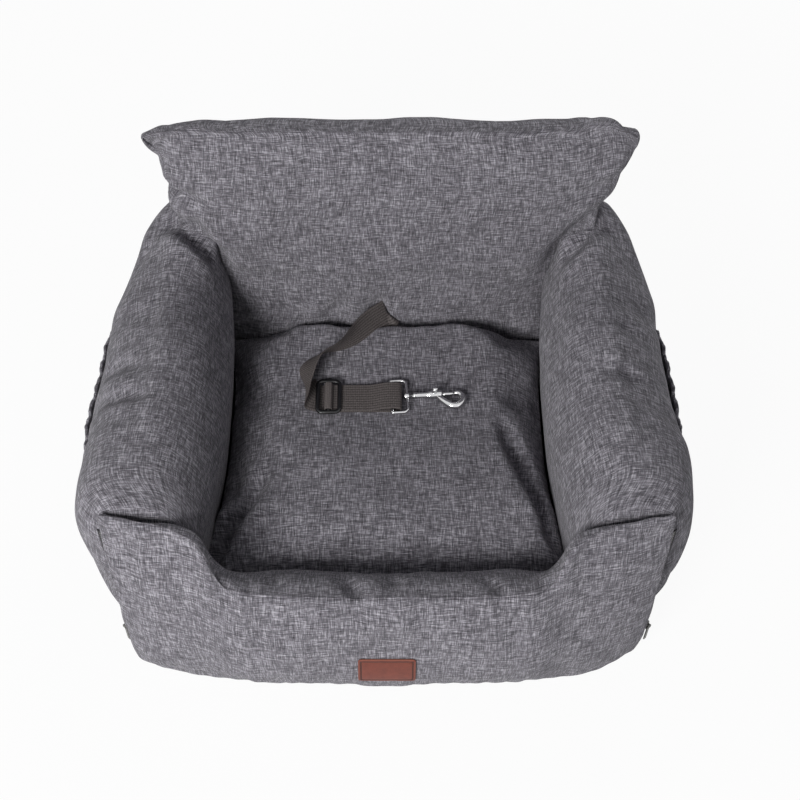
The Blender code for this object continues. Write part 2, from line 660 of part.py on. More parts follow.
def seat_cushion():
    middle = SEAT_LOW + (SEAT_EDGE_LOW + SEAT_EDGE_HIGH) / 2
    cutter = box_guide("seat_slit_cutter",
                       (-SEAT_SLIT_LENGTH / 2, SEAT_REAR_Y - FABRIC * 2, middle - SEAT_SLIT / 2),
                       (SEAT_SLIT_LENGTH / 2, SEAT_REAR_Y + OVERRUN, middle + SEAT_SLIT / 2))
    cover("seat_cover", pillow(seat_faces(SEAT_GRID_SHARES, 0)),
          pillow(seat_faces(SEAT_GRID_SHARES, FABRIC)),
          cutter)
    top, bottom = seat_faces(SEAT_GRID_SHARES[::3], FABRIC + FILL_ROOM)
    bottom[:, :, 2] = np.maximum(bottom[:, :, 2] - FILL_ROOM, SEAT_LOW + FABRIC + GAP)
    solid("seat_pad", pillow((top, bottom)), "foam")


# Back cushion

def back_half(z):
    """Half width of the back cushion: squeezed by the side bolsters, then flaring to its corners."""
    flare = BACK_TOP_HALF * through(BACK_FLARE_PLACE_SHARES, BACK_FLARE_SHARES, z / BACK_SEAM_Z)
    walls = [well_half(y, z) for y in np.linspace(BACK_FOOT_Y, BACK_REAR_Y, 6)]
    squeezed = np.min(walls, axis=0) - PRESS_GAP
    return np.minimum(flare, np.where(z < SIDE_HEIGHT, squeezed, flare)) - EDGE_PUSH_SIDE


def back_faces(rows, columns, depth, floor):
    """Front and rear grids of the back cushion and the swelling line round its edge."""
    top = BACK_SEAM_Z - depth
    z = floor + np.asarray(rows) * (top - floor)
    u, z = np.meshgrid(2 * np.asarray(columns) - 1, z)
    share = z / BACK_SEAM_Z
    x = u * (back_half(z) - depth)
    crown = BACK_CROWN * through(BACK_CROWN_PLACE_SHARES, BACK_CROWN_SHARES, share) * (1 - u ** 4)
    draw = BACK_SIDE_DRAW * u ** 6
    front = BACK_FOOT_Y + (BACK_TOP_Y - BACK_FOOT_Y) * share ** 2 - crown + draw + depth
    rear = BACK_REAR_Y * through(BACK_REAR_PLACE_SHARES, BACK_REAR_SHARES, share) - draw - depth
    faces = np.stack([x, front, z], 2), np.stack([x, rear, z], 2)
    middle = (faces[0] + faces[1]) / 2
    middle[:, :, 0] += EDGE_PUSH_SIDE * np.sign(u) * (np.abs(u) > 1 - GAP) * (share > 0)
    middle[-1, :, 2] += EDGE_PUSH_TOP
    return faces, border(middle)


def back_cushion():
    rear = BACK_REAR_Y * BACK_REAR_SHARES[0]
    cutter = box_guide("back_slit_cutter",
                       (-BACK_ZIP_LENGTH / 2 + TAPE_WIDTH, rear - FABRIC * 2, BACK_ZIP_Z - ZIP_SLIT / 2),
                       (BACK_ZIP_LENGTH / 2 - TAPE_WIDTH, rear + OVERRUN, BACK_ZIP_Z + ZIP_SLIT / 2))
    outer = back_faces(BACK_ROW_SHARES, BACK_COLUMN_SHARES, 0, BASE_TOP)
    cavity = back_faces(BACK_ROW_SHARES, BACK_COLUMN_SHARES, FABRIC, BASE_TOP + FABRIC)
    cover("back_cushion_cover", pillow(*outer), pillow(*cavity), cutter)
    faces, _ = back_faces(BACK_ROW_SHARES, BACK_COLUMN_SHARES[::3], FABRIC + FILL_ROOM,
                          BASE_TOP + FABRIC + GAP)
    solid("back_cushion_fill", pillow(faces), "fibre")


# Base

def base():
    shares = both_ways(FRONT_RING_SHARES[::2])
    edge = [(share * (CORNER_FOOT_X - BASE_MARGIN), front_outline(abs(share))[0, 0] + BASE_MARGIN)
            for share in shares]
    sides = []
    for share in SIDE_RING_SHARES[2::3]:
        middle, half = side_reach(share, BASE_TOP)
        y = float(joint_y(0)) + share * (SIDE_REAR_Y - float(joint_y(0)))
        sides.append((float(middle + half) - BASE_MARGIN, y))
    rear = (SIDE_OUTER_X * SIDE_OUTER_SHARES[-1] * SIDE_FULL_SHARES[-1] - BASE_MARGIN, BACK_REAR_Y
            * BACK_REAR_SHARES[0] - BASE_MARGIN)
    outline = edge + sides + [rear, (-rear[0], rear[1])] + [(-x, y) for x, y in sides[::-1]]
    solid("base_panel", tube([[(x, y, z) for x, y in outline] for z in (0, BASE_SKIN)]), "underside", False)
    half = WELL_HALF_WIDTH - FOAM_MARGIN
    slab = box("base_foam", (-half, -FRONT_REAR_Y + FOAM_MARGIN, BASE_TOP),
               (half, BACK_FOOT_Y - FOAM_MARGIN, FOAM_TOP), "foam")
    edge = slab.modifiers.new("soft_edge", "BEVEL")
    edge.width = FOAM_MARGIN / 2
    edge.segments = 2


# Zips

def slider(name, place):
    """A zip slider in its own frame: it runs along Y, faces +Z and has the pull's pin along X."""
    bm = bmesh.new()
    half = SLIDER_WIDTH / 2
    pin_z = SLIDER_BODY + PULL_EYE_RADIUS + GAP
    outline = [(-half, -SLIDER_LENGTH / 2), (half, -SLIDER_LENGTH / 2), (half, SLIDER_LENGTH / 4),
               (half - LUG, SLIDER_LENGTH / 2), (-half + LUG, SLIDER_LENGTH / 2), (-half, SLIDER_LENGTH / 4)]
    add_shell(bm, tube([[(x, y, z) for x, y in outline] for z in (0, SLIDER_BODY)]))
    body = finish(name, bm, "zip_metal", place)
    bm = bmesh.new()
    inner = PULL_WIDTH / 2 + GAP
    for side in (-1, 1):
        add_box(bm, (min(side * inner, side * (inner + LUG)), -LUG_LENGTH / 2, SLIDER_BODY - GAP),
                (max(side * inner, side * (inner + LUG)), LUG_LENGTH / 2, pin_z + PULL_PIN_RADIUS * 2))
    lugs = guide(name + "_lugs", bm, place)
    bm = bmesh.new()
    add_cylinder(bm, (-inner - LUG / 2, 0, pin_z), (inner + LUG / 2, 0, pin_z), PULL_PIN_RADIUS, 12)
    pin = guide(name + "_pin", bm, place)
    combine(body, "UNION", lugs)
    combine(body, "UNION", pin)
    return body


def pull(name, place):
    """The pull tab in the slider's frame, moved to its pin: an eye and a tab along -Y."""
    bm = bmesh.new()
    add_cylinder(bm, (-PULL_WIDTH / 2, 0, 0), (PULL_WIDTH / 2, 0, 0), PULL_EYE_RADIUS, 20)
    tab = finish(name, bm, "zip_metal", place)
    plate = box_guide(name + "_plate", (-PULL_WIDTH / 2, -PULL_LENGTH, -PULL_THICKNESS / 2),
                      (PULL_WIDTH / 2, -PULL_EYE_RADIUS / 2, PULL_THICKNESS / 2), place)
    bm = bmesh.new()
    add_cylinder(bm, (-PULL_WIDTH, 0, 0), (PULL_WIDTH, 0, 0), PULL_HOLE_RADIUS, 16)
    hole = guide(name + "_hole", bm, place)
    combine(tab, "UNION", plate)
    combine(tab, "DIFFERENCE", hole)
    return tab


def slider_frame(origin, along, out):
    """A frame at origin with Y along the zip and Z out of it."""
    across = along.cross(out)
    return Matrix.Translation(origin) @ Matrix((across, along, out)).transposed().to_4x4()


def corner_zip(name, side):
    low, high, up, out = corner_place(side)
    fill = TAPE + BEAD
    profile = ((0, -TAPE_WIDTH), (TAPE, -TAPE_WIDTH), (TAPE, -fill), (fill, -TAPE), (TAPE_WIDTH, -TAPE),
               (TAPE_WIDTH, 0), (0, 0))
    rings = [[point + Vector((side * x, y, 0)) for x, y in profile] for point in (low, high)]
    solid(name + "_corner_zip", tube(rings), "zip_tape", False)
    back = Vector((side * (TAPE + BEAD / 2), -TAPE - BEAD / 2, 0))
    origin = low + up * SLIDER_LENGTH + back + out * GAP * 2
    frame = slider_frame(origin, up, out)
    slider(name + "_zip_slider", frame)
    pin = Vector((0, 0, SLIDER_BODY + PULL_EYE_RADIUS + GAP))
    pull(name + "_zip_pull", frame @ Matrix.Translation(pin))


def back_zip():
    wall = BACK_REAR_Y * BACK_REAR_SHARES[0] + GAP
    rib = BACK_RIB_WIDTH / 2
    profile = ((-TAPE_WIDTH, 0), (-TAPE_WIDTH, TAPE), (-rib, TAPE), (-rib, TAPE + BACK_RIB),
               (rib, TAPE + BACK_RIB),
               (rib, TAPE), (TAPE_WIDTH, TAPE), (TAPE_WIDTH, 0))
    rings = [[(x, wall + y, BACK_ZIP_Z + z) for z, y in profile]
             for x in (-BACK_ZIP_LENGTH / 2, BACK_ZIP_LENGTH / 2)]
    solid("back_zip", tube(rings), "zip_tape", False)
    origin = Vector((BACK_ZIP_LENGTH / 2 - SLIDER_LENGTH, wall + TAPE + BACK_RIB + GAP, BACK_ZIP_Z))
    frame = slider_frame(origin, Vector((1, 0, 0)), Vector((0, 1, 0)))
    slider("back_zip_slider", frame)
    pin = Vector((0, 0, SLIDER_BODY + PULL_EYE_RADIUS + GAP))
    pull("back_zip_pull", frame @ Matrix.Translation(pin))


# Pockets

def pocket_sheet(side, columns, rows, lift, thickness):
    """Two grids of a sheet that stands off the side bolster towards its lip."""
    u, v = np.meshgrid(2 * np.asarray(columns) - 1, rows)
    y = POCKET_MIDDLE_Y + u * POCKET_LENGTH / 2
    z = POCKET_LOW + v * (POCKET_LIP - POCKET_LOW)
    middle, half = side_reach(side_share(y, z), z)
    off = POCKET_STANDOFF * (1 - u ** 4) * v ** 0.8
    x = middle + half + GAP + off + lift
    return [np.stack([side * (x + more), y, z], 2) for more in (0, thickness)]


def pocket(name, side):
    solid(name + "_side_pocket", pillow(pocket_sheet(side, POCKET_GRID_SHARES, POCKET_ROW_SHARES, GAP,
                                                     POCKET_CLOTH)), "cloth")
    tall = POCKET_LIP - POCKET_LOW
    rows = [1 - (ELASTIC_DROP + ELASTIC_HEIGHT) / tall, 1 - ELASTIC_DROP / tall]
    solid(name + "_pocket_elastic", pillow(pocket_sheet(side, POCKET_GRID_SHARES[1:-1], rows,
                                                        -ELASTIC, ELASTIC)), "elastic")


# Label

def front_face_y():
    """The foremost place of the front bolster at its middle."""
    return float(front_outline(0)[:, 0].min())


def rounded_outline(half_width, half_height, corner):
    """A rectangle with rounded corners about the origin, once round."""
    outline = []
    for right, upper, start in ((1, 1, 0), (-1, 1, 90), (-1, -1, 180), (1, -1, 270)):
        for turn in CORNER_STEPS:
            a = math.radians(start + turn)
            outline.append((right * (half_width - corner) + corner * math.cos(a),
                            upper * (half_height - corner) + corner * math.sin(a)))
    return outline


def label():
    back = front_face_y() - GAP
    middle = LABEL_LOW + LABEL_HEIGHT / 2
    outline = rounded_outline(LABEL_WIDTH / 2, LABEL_HEIGHT / 2, LABEL_CORNER)
    solid("leather_label", tube([[(x, back - y, middle + z) for x, z in outline]
                                 for y in (0, LABEL_THICKNESS)]), "leather", False)
    face = back - LABEL_THICKNESS - GAP - THREAD_RADIUS
    outline = rounded_outline(LABEL_WIDTH / 2 - STITCH_INSET, LABEL_HEIGHT / 2 - STITCH_INSET, LABEL_CORNER)
    solid("label_stitching",
          wire([(x, face, middle + z) for x, z in outline], THREAD_RADIUS, 6, closed=True),
          "thread")


# Belt loops

def belt_loop(name, side):
    """A strip of webbing sewn down at both ends, standing off the back cushion for the car's belt."""
    wall = BACK_REAR_Y + GAP
    line = np.array([(wall + off * LOOP_STANDOFF + LOOP_THICKNESS / 2, LOOP_LOW + up * LOOP_HEIGHT)
                     for up, off in LOOP_SHARES])
    ahead = np.gradient(line, axis=0)
    ahead = ahead / np.linalg.norm(ahead, axis=1)[:, None]
    square = np.stack([ahead[:, 1], -ahead[:, 0]], 1) * LOOP_THICKNESS / 2
    rings = []
    for (y, z), (dy, dz) in zip(line, square):
        rings.append([(side * LOOP_PLACE_X + x, y + s * dy, z + s * dz)
                      for x, s in ((-LOOP_WEBBING / 2, -1), (LOOP_WEBBING / 2, -1), (LOOP_WEBBING / 2, 1),
                                   (-LOOP_WEBBING / 2, 1))])
    solid(name + "_belt_loop", tube(rings), "webbing", False)


# Tether

def ribbon(points, edges, width, thickness):
    """Rings of a flat band along points; edges say which way its width lies, square or slanting."""
    points, edges = np.asarray(points, float), np.asarray(edges, float)
    ahead = np.gradient(points, axis=0)
    ahead = ahead / np.linalg.norm(ahead, axis=1)[:, None]
    across = edges / np.linalg.norm(edges, axis=1)[:, None]
    normal = np.cross(ahead, across)
    slant = np.linalg.norm(normal, axis=1)[:, None]
    across, normal = across / slant, normal / slant
    return [[p + a * width / 2 * s + n * thickness / 2 * t for s, t in ((-1, -1), (1, -1), (1, 1), (-1, 1))]
            for p, a, n in zip(points, across, normal)]


def tether():
    route = np.array([[*place, *edge] for place, edge in STRAP_ROUTE])
    line = smooth_route(route, STRAP_STEPS)
    solid("tether_strap", tube(ribbon(line[:, :3], line[:, 3:], WEBBING, WEBBING_THICKNESS)),
          "webbing", False)
    line = smooth_route(LOOP_ROUTE, STRAP_STEPS // 2)
    across = np.tile((0.0, -1.0, 0.0), (len(line), 1))
    solid("tether_loop", tube(ribbon(line, across, WEBBING, WEBBING_THICKNESS)), "webbing", False)


def adjuster():
    """The black slide: a frame with a middle bar, and the webbing's sewn end round that bar."""
    place = Matrix.Translation(SLIDE_PLACE)
    half = SLIDE_LENGTH / 2
    outline = rounded_outline(half, SLIDE_SLOT / 2 + SLIDE_BAR, SLIDE_CORNER)
    bm = bmesh.new()
    add_shell(bm, tube([[(x, y, z) for x, y in outline] for z in (0, SLIDE_THICKNESS)]))
    frame = finish("strap_slide", bm, "black_plastic", place)
    bm = bmesh.new()
    inner = half - SLIDE_BAR
    for side in (-1, 1):
        near, far = sorted((side * SLIDE_BAR / 2, side * inner))
        add_box(bm, (near, -SLIDE_SLOT / 2, -OVERRUN), (far, SLIDE_SLOT / 2, SLIDE_THICKNESS + OVERRUN))
    combine(frame, "DIFFERENCE", guide("slide_slot_cutter", bm, place))
    near = SLIDE_BAR / 2 + GAP + WEBBING_THICKNESS / 2
    top = SLIDE_THICKNESS + GAP + WEBBING_THICKNESS / 2
    low = WEBBING_THICKNESS / 4
    shares = ((1.45, 0.0), (1.25, 0.45), (1.0, 0.85), (0.5, 1.0), (-0.5, 1.0), (-1.0, 0.85),
              (-1.25, 0.45), (-1.45, 0.0))
    line = smooth_route([(near * x, 0, low + z * (top - low)) for x, z in shares], 15)
    across = np.tile((0.0, 1.0, 0.0), (len(line), 1))
    bm = bmesh.new()
    add_shell(bm, tube(ribbon(line, across, WEBBING, WEBBING_THICKNESS)))
    finish("slide_webbing", bm, "webbing", place)


def eye_line():
    """The eye's wire, once round: the bar, two legs and a shoulder that turns in to the boss."""
    turn = EYE_DEPTH - EYE_SHOULDER
    line = [(0, y, 0) for y in (-EYE_HALF_WIDTH / 2, 0, EYE_HALF_WIDTH / 2)]
    for side in (1, -1):
        arc = [(EYE_SHOULDER + turn * math.sin(a), side * (EYE_HALF_WIDTH - turn * (1 - math.cos(a))), 0)
               for a in (math.radians(d) for d in (0, 30, 60, 85))]
        leg = [(WIRE_RADIUS / 2, side * (EYE_HALF_WIDTH - WIRE_RADIUS / 2), 0),
               (EYE_SHOULDER / 2, side * EYE_HALF_WIDTH, 0), *arc]
        line += leg if side == 1 else leg[::-1]
    return line


def snap():
    place = Matrix.Translation(SNAP_PLACE) @ Matrix.Rotation(SNAP_YAW, 4, "Z")
    bm = bmesh.new()
    add_shell(bm, wire(eye_line(), WIRE_RADIUS, 10, closed=True))
    eye = finish("snap_eye", bm, "chrome", place, smooth=True)
    bm = bmesh.new()
    add_cylinder(bm, (EYE_DEPTH - BOSS_LENGTH / 2, 0, 0), (EYE_DEPTH + BOSS_LENGTH / 2, 0, 0),
                 BOSS_RADIUS, 20)
    combine(eye, "UNION", guide("eye_boss", bm, place))
    bm = bmesh.new()
    add_cylinder(bm, (EYE_DEPTH - BOSS_LENGTH, 0, 0), (EYE_DEPTH + BOSS_LENGTH, 0, 0),
                 STEM_RADIUS + RUN_CLEARANCE, 20)
    combine(eye, "DIFFERENCE", guide("eye_hole_cutter", bm, place))

    bm = bmesh.new()
    add_cylinder(bm, (BARREL_START, 0, 0), (BARREL_END, 0, 0), BARREL_RADIUS, 20)
    hook = finish("snap_hook", bm, "chrome", place, smooth=True)
    head = EYE_DEPTH - BOSS_LENGTH / 2 - GAP
    bm = bmesh.new()
    add_cylinder(bm, (head - STEM_HEAD_LENGTH / 2, 0, 0), (BARREL_START + GAP, 0, 0), STEM_RADIUS, 20)
    combine(hook, "UNION", guide("hook_stem", bm, place))
    bm = bmesh.new()
    add_cylinder(bm, (head - STEM_HEAD_LENGTH, 0, 0), (head, 0, 0), STEM_HEAD_RADIUS, 16)
    combine(hook, "UNION", guide("hook_head", bm, place))
    bm = bmesh.new()
    line = smooth_route([(x, y, 0) for x, y in HOOK_ROUTE], 22)
    add_shell(bm, wire(line, HOOK_RADIUS, 10))
    combine(hook, "UNION", guide("hook_arm", bm, place))
    bm = bmesh.new()
    bore = BARREL_START + BORE_END_WALL
    add_cylinder(bm, (bore, 0, 0), (BARREL_END + OVERRUN, 0, 0), BORE_RADIUS, 20)
    combine(hook, "DIFFERENCE", guide("barrel_bore_cutter", bm, place))
    slot = KNOB_RADIUS + RUN_CLEARANCE
    cutter = box_guide("knob_slot_cutter", (KNOB_PLACE - BOLT_TRAVEL - slot - RUN_CLEARANCE, -slot, 0),
                       (KNOB_PLACE + slot, slot, BARREL_RADIUS + OVERRUN), place)
    combine(hook, "DIFFERENCE", cutter)

    bm = bmesh.new()
    add_cylinder(bm, (BARREL_END - BOLT_INSIDE, 0, 0), (BOLT_END, 0, 0), BOLT_RADIUS, 16)
    bolt = finish("snap_bolt", bm, "chrome", place, smooth=True)
    bm = bmesh.new()
    add_cylinder(bm, (KNOB_PLACE, 0, 0), (KNOB_PLACE, 0, KNOB_HEIGHT), KNOB_RADIUS, 12)
    combine(bolt, "UNION", guide("bolt_knob", bm, place))

    start, end = bore + SPRING_WIRE + GAP, BARREL_END - BOLT_INSIDE - SPRING_WIRE - GAP
    steps = SPRING_TURNS * 8
    line = [(start + (end - start) * k / steps, SPRING_RADIUS * math.cos(2 * math.pi * k / 8),
             SPRING_RADIUS * math.sin(2 * math.pi * k / 8)) for k in range(steps + 1)]
    bm = bmesh.new()
    add_shell(bm, wire(line, SPRING_WIRE, 5))
    finish("snap_spring", bm, "spring_steel", place)


def main():
    clear_scene()
    base()
    front_bolster()
    for name, side in (("left", -1), ("right", 1)):
        side_bolster(name, side)
        corner_zip(name, side)
        pocket(name, side)
        belt_loop(name, side)
    seat_cushion()
    back_cushion()
    back_zip()
    label()
    tether()
    adjuster()
    snap()


main()
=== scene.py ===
# %% [markdown]
# A dog car seat: a firm base, a stuffed bolster on each side, a low one in front, a tall back cushion
# and a loose seat cushion. A webbing tether with a swivel snap hook comes out behind the seat.
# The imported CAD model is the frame: it says where everything is and what moves. This file dresses it.
# Everything is in metres, +Z up, and the dog looks out over the front at -Y.

# %% The frame
import json
import math
import time

import bpy
import numpy as np
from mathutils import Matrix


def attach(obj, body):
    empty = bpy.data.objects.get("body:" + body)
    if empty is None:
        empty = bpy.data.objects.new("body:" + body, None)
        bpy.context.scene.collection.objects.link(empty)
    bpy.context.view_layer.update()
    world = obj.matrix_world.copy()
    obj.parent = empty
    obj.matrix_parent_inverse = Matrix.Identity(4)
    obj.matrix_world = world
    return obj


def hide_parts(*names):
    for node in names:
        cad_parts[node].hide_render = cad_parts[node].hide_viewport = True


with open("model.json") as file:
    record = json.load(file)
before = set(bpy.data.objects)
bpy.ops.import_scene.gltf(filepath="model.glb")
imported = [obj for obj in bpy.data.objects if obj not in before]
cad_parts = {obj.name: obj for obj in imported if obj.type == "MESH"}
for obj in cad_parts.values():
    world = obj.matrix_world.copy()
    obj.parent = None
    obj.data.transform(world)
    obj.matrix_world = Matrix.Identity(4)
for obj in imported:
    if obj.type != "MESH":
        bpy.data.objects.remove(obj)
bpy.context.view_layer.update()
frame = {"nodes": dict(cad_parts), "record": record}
scene = bpy.context.scene
nodes = frame["nodes"]

# %% [markdown]
# The seat was photographed from well above its front edge with a longish lens. A camera in Blender
# looks along its own -Z, so a turn about X alone tilts it from straight down up to that view, and the
# small sideways shift keeps the seat where it stands in the picture.

# %% The camera
LOOK_DOWN = math.radians(52)      # above the horizon
CAMERA_DISTANCE = 1.95
CAMERA_TARGET = np.array([0.0, 0.045, 0.135])
CAMERA_LENS = 78.75               # mm, on Blender's 36 mm sensor
CAMERA_SHIFT = 0.0163             # share of the picture's width

camera_data = bpy.data.cameras.new("camera")
camera_data.lens = CAMERA_LENS
camera_data.shift_x = CAMERA_SHIFT
camera = bpy.data.objects.new("camera", camera_data)
camera.location = CAMERA_TARGET + CAMERA_DISTANCE * np.array([0, -math.cos(LOOK_DOWN), math.sin(LOOK_DOWN)])
camera.rotation_euler = (math.pi / 2 - LOOK_DOWN, 0, 0)
scene.collection.objects.link(camera)
scene.camera = camera
print("camera at", [round(v, 3) for v in camera.location])

# %% [markdown]
# Most pieces are surfaces on a grid: rows of points along the piece and columns round it. With the
# points in one array, the faces are only a pattern of numbers, so no loop visits a vertex. The texture
# coordinates are the cloth's own lengths in metres, so that a thread is as thick on every piece.

# %% Curves and grids
def ease(start, end, x):
    """0 before start, 1 after end, and an S curve between."""
    t = np.clip((np.asarray(x, float) - start) / (end - start), 0, 1)
    return t * t * (3 - 2 * t)


def unit(vectors):
    """Each row of an array divided by its length."""
    return vectors / np.linalg.norm(vectors, axis=1)[:, None]


def cubic(t, step, one, two, slope_one, slope_two):
    """From one value to the next over a step, leaving and arriving with the given slopes."""
    return ((1 + 2 * t) * (1 - t) ** 2 * one + t * (1 - t) ** 2 * step * slope_one
            + t * t * (3 - 2 * t) * two + t * t * (t - 1) * step * slope_two)


def through(shares, values, at):
    """A curve through given values. Its slope at each is the harmonic mean of the slopes on both
    sides, and 0 where they have different signs, so it never overshoots."""
    shares, values = np.asarray(shares, float), np.asarray(values, float)
    at = np.clip(np.asarray(at, float), shares[0], shares[-1])
    rise = np.diff(values) / np.diff(shares)
    before, after = rise[:-1], rise[1:]
    same = before * after > 0
    inner = np.where(same, 2 * before * after / np.where(same, before + after, 1), 0)
    slopes = np.concatenate([rise[:1], inner, rise[-1:]])
    low = np.clip(np.searchsorted(shares, at, side="right") - 1, 0, len(shares) - 2)
    step = shares[low + 1] - shares[low]
    t = (at - shares[low]) / step
    return cubic(t, step, values[low], values[low + 1], slopes[low], slopes[low + 1])


def lengths(points):
    """Distance along a line of points, from 0 at its first."""
    return np.concatenate([[0], np.cumsum(np.linalg.norm(np.diff(points, axis=0), axis=1))])


def smooth_route(points, steps):
    """Even steps along cubic pieces that share the mean slope at each of a route's own points."""
    points = np.array(points, float)
    along = lengths(points[:, :3])
    slopes = np.gradient(points, along, axis=0)
    at = np.linspace(0, along[-1], steps)
    low = np.clip(np.searchsorted(along, at, side="right") - 1, 0, len(along) - 2)
    step = (along[low + 1] - along[low])[:, None]
    t = (at[:, None] - along[low][:, None]) / step
    return cubic(t, step, points[low], points[low + 1], slopes[low], slopes[low + 1])


def piece(name, points, faces, uv=None, smooth=True):
    """A mesh object at the origin from an array of points, a list of faces and a uv pair per corner."""
    mesh = bpy.data.meshes.new(name)
    mesh.from_pydata(np.asarray(points, float).reshape(-1, 3).tolist(), [], faces)
    if uv is not None:
        layer = mesh.uv_layers.new(name="cloth_metres")
        layer.data.foreach_set("uv", np.asarray(uv, float).ravel())
    if smooth:
        mesh.shade_smooth()
    mesh.validate()
    thing = bpy.data.objects.new(name, mesh)
    scene.collection.objects.link(thing)
    return thing


def band_faces(rows, columns, around=True):
    """Quads of a grid of rows and columns, closed round the columns if asked, and the row and column of
    each of their corners."""
    i, j = np.meshgrid(np.arange(rows - 1), np.arange(columns if around else columns - 1), indexing="ij")
    row = np.stack([i, i, i + 1, i + 1], -1).reshape(-1, 4)
    column = np.stack([j, j + 1, j + 1, j], -1).reshape(-1, 4)
    return row * columns + column % columns, row, column


def triples(items, attribute, kind=float):
    """Three numbers of each item of a mesh, as rows of an array."""
    numbers = np.empty(len(items) * 3, kind)
    items.foreach_get(attribute, numbers)
    return numbers.reshape(-1, 3)


def end_fans(rows, columns):
    """Triangles from a tube's first and last rings to the two points numbered after the grid's."""
    turn, far, last = np.arange(columns), (rows - 1) * columns, rows * columns
    ahead = (turn + 1) % columns
    return np.concatenate([np.stack([ahead, turn, np.full(columns, last)], 1),
                           np.stack([turn + far, ahead + far, np.full(columns, last + 1)], 1)])


def outwards(thing):
    """Turn the faces so that the closed mesh holds a positive volume."""
    mesh = thing.data
    mesh.calc_loop_triangles()
    corners = triples(mesh.loop_triangles, "vertices", int)
    a, b, c = triples(mesh.vertices, "co")[corners].transpose(1, 0, 2)
    if np.sum(a * np.cross(b, c)) < 0:
        mesh.flip_normals()
    return thing


def tube_piece(name, rings, closed=False, end_rows=0, end_axes=(0, 1)):
    """Rings of points joined in order, each end closed by a fan to its middle, or the last ring joined
    to the first. uv: length round the ring, length along the tube; the rows of an end are a flat panel
    of cloth, with two of the axes as uv."""
    rings = np.asarray(rings, float)
    rows, columns = rings.shape[:2]
    if closed:
        rings = np.concatenate([rings, rings[:1]])
        rows += 1
    along = lengths(rings.mean(axis=1))
    round_ = np.concatenate([rings, rings[:, :1]], axis=1)
    around = np.concatenate([np.zeros((rows, 1)),
                             np.cumsum(np.linalg.norm(np.diff(round_, axis=1), axis=2), axis=1)], axis=1)
    faces, row, column = band_faces(rows, columns)
    uv = np.stack([around[row, column], along[row]], -1)
    at_end = (row[:, 0] < end_rows) | (row[:, 0] >= rows - 1 - end_rows)
    uv[at_end] = rings.reshape(-1, 3)[faces[at_end]][..., list(end_axes)]
    uv = uv.reshape(-1, 2)
    if closed:
        faces = faces % ((rows - 1) * columns)
        return outwards(piece(name, rings[:-1], faces.tolist(), uv))
    fans = end_fans(rows, columns)
    points = np.concatenate([rings.reshape(-1, 3), rings[0].mean(0)[None], rings[-1].mean(0)[None]])
    uv = np.concatenate([uv, points[fans.ravel()][:, list(end_axes)]])
    return outwards(piece(name, points, faces.tolist() + fans.tolist(), uv))


print("helpers ready")

# %% [markdown]
# The tether comes out behind the seat cushion, twists once and lies across the seat. It is modelled
# first, because everything soft has to leave room for it. Webbing is a flat woven band with ribs along
# it, so its section is a thin closed outline with a row of small bumps on both faces, carried along a
# smooth route. The way the width lies is given at each point of the route, which makes the twist.

# %% The route of the tether
WEBBING = 0.038
WEBBING_THICKNESS = 0.0014
# Each point of the strap's middle line, and the way its width lies there.
STRAP_ROUTE = (
    ((-0.0260, 0.18385, 0.0480), (1.00, 0.00, -0.10)),
    ((-0.0250, 0.18400, 0.0700), (0.98, 0.00, -0.20)),
    ((-0.0205, 0.18440, 0.0900), (0.86, 0.00, -0.50)),
    ((-0.0125, 0.18500, 0.1070), (0.68, 0.00, -0.73)),
    ((-0.0030, 0.18480, 0.1190), (0.55, 0.02, -0.83)),
    ((0.0010, 0.18200, 0.1240), (0.55, 0.05, -0.83)),
    ((-0.0030, 0.17780, 0.1252), (0.56, 0.07, -0.82)),
    ((-0.0110, 0.17050, 0.1262), (0.58, 0.12, -0.80)),
    ((-0.0210, 0.16000, 0.1275), (0.61, 0.22, -0.75)),
    ((-0.0400, 0.14000, 0.1295), (0.50, 0.42, -0.75)),
    ((-0.0540, 0.12800, 0.1315), (0.35, 0.56, -0.76)),
    ((-0.0635, 0.12150, 0.1330), (0.22, 0.62, -0.76)),
    ((-0.0725, 0.11550, 0.1335), (0.06, 0.64, -0.77)),
    ((-0.0830, 0.10650, 0.1300), (-0.20, 0.72, -0.66)),
    ((-0.0905, 0.09700, 0.1240), (-0.36, 0.80, -0.48)),
    ((-0.0935, 0.08900, 0.1180), (-0.32, 0.88, -0.34)),
    ((-0.0925, 0.08150, 0.1140), (-0.22, 0.95, -0.18)),
    ((-0.0885, 0.07450, 0.1120), (-0.10, 0.99, -0.05)),
    ((-0.0830, 0.06900, 0.1114), (-0.03, 1.00, 0.00)),
    ((-0.0760, 0.06580, 0.1113), (0.00, 1.00, 0.00)),
    ((-0.0640, 0.0650, 0.1113), (0.00, 1.00, 0.00)),
    ((-0.0480, 0.0650, 0.1113), (0.00, 1.00, 0.00)),
    ((-0.0300, 0.0650, 0.1113), (0.00, 1.00, 0.00)),
    ((-0.0100, 0.0650, 0.1113), (0.00, 1.00, 0.00)),
    ((0.0100, 0.0650, 0.1113), (0.00, 1.00, 0.00)),
)
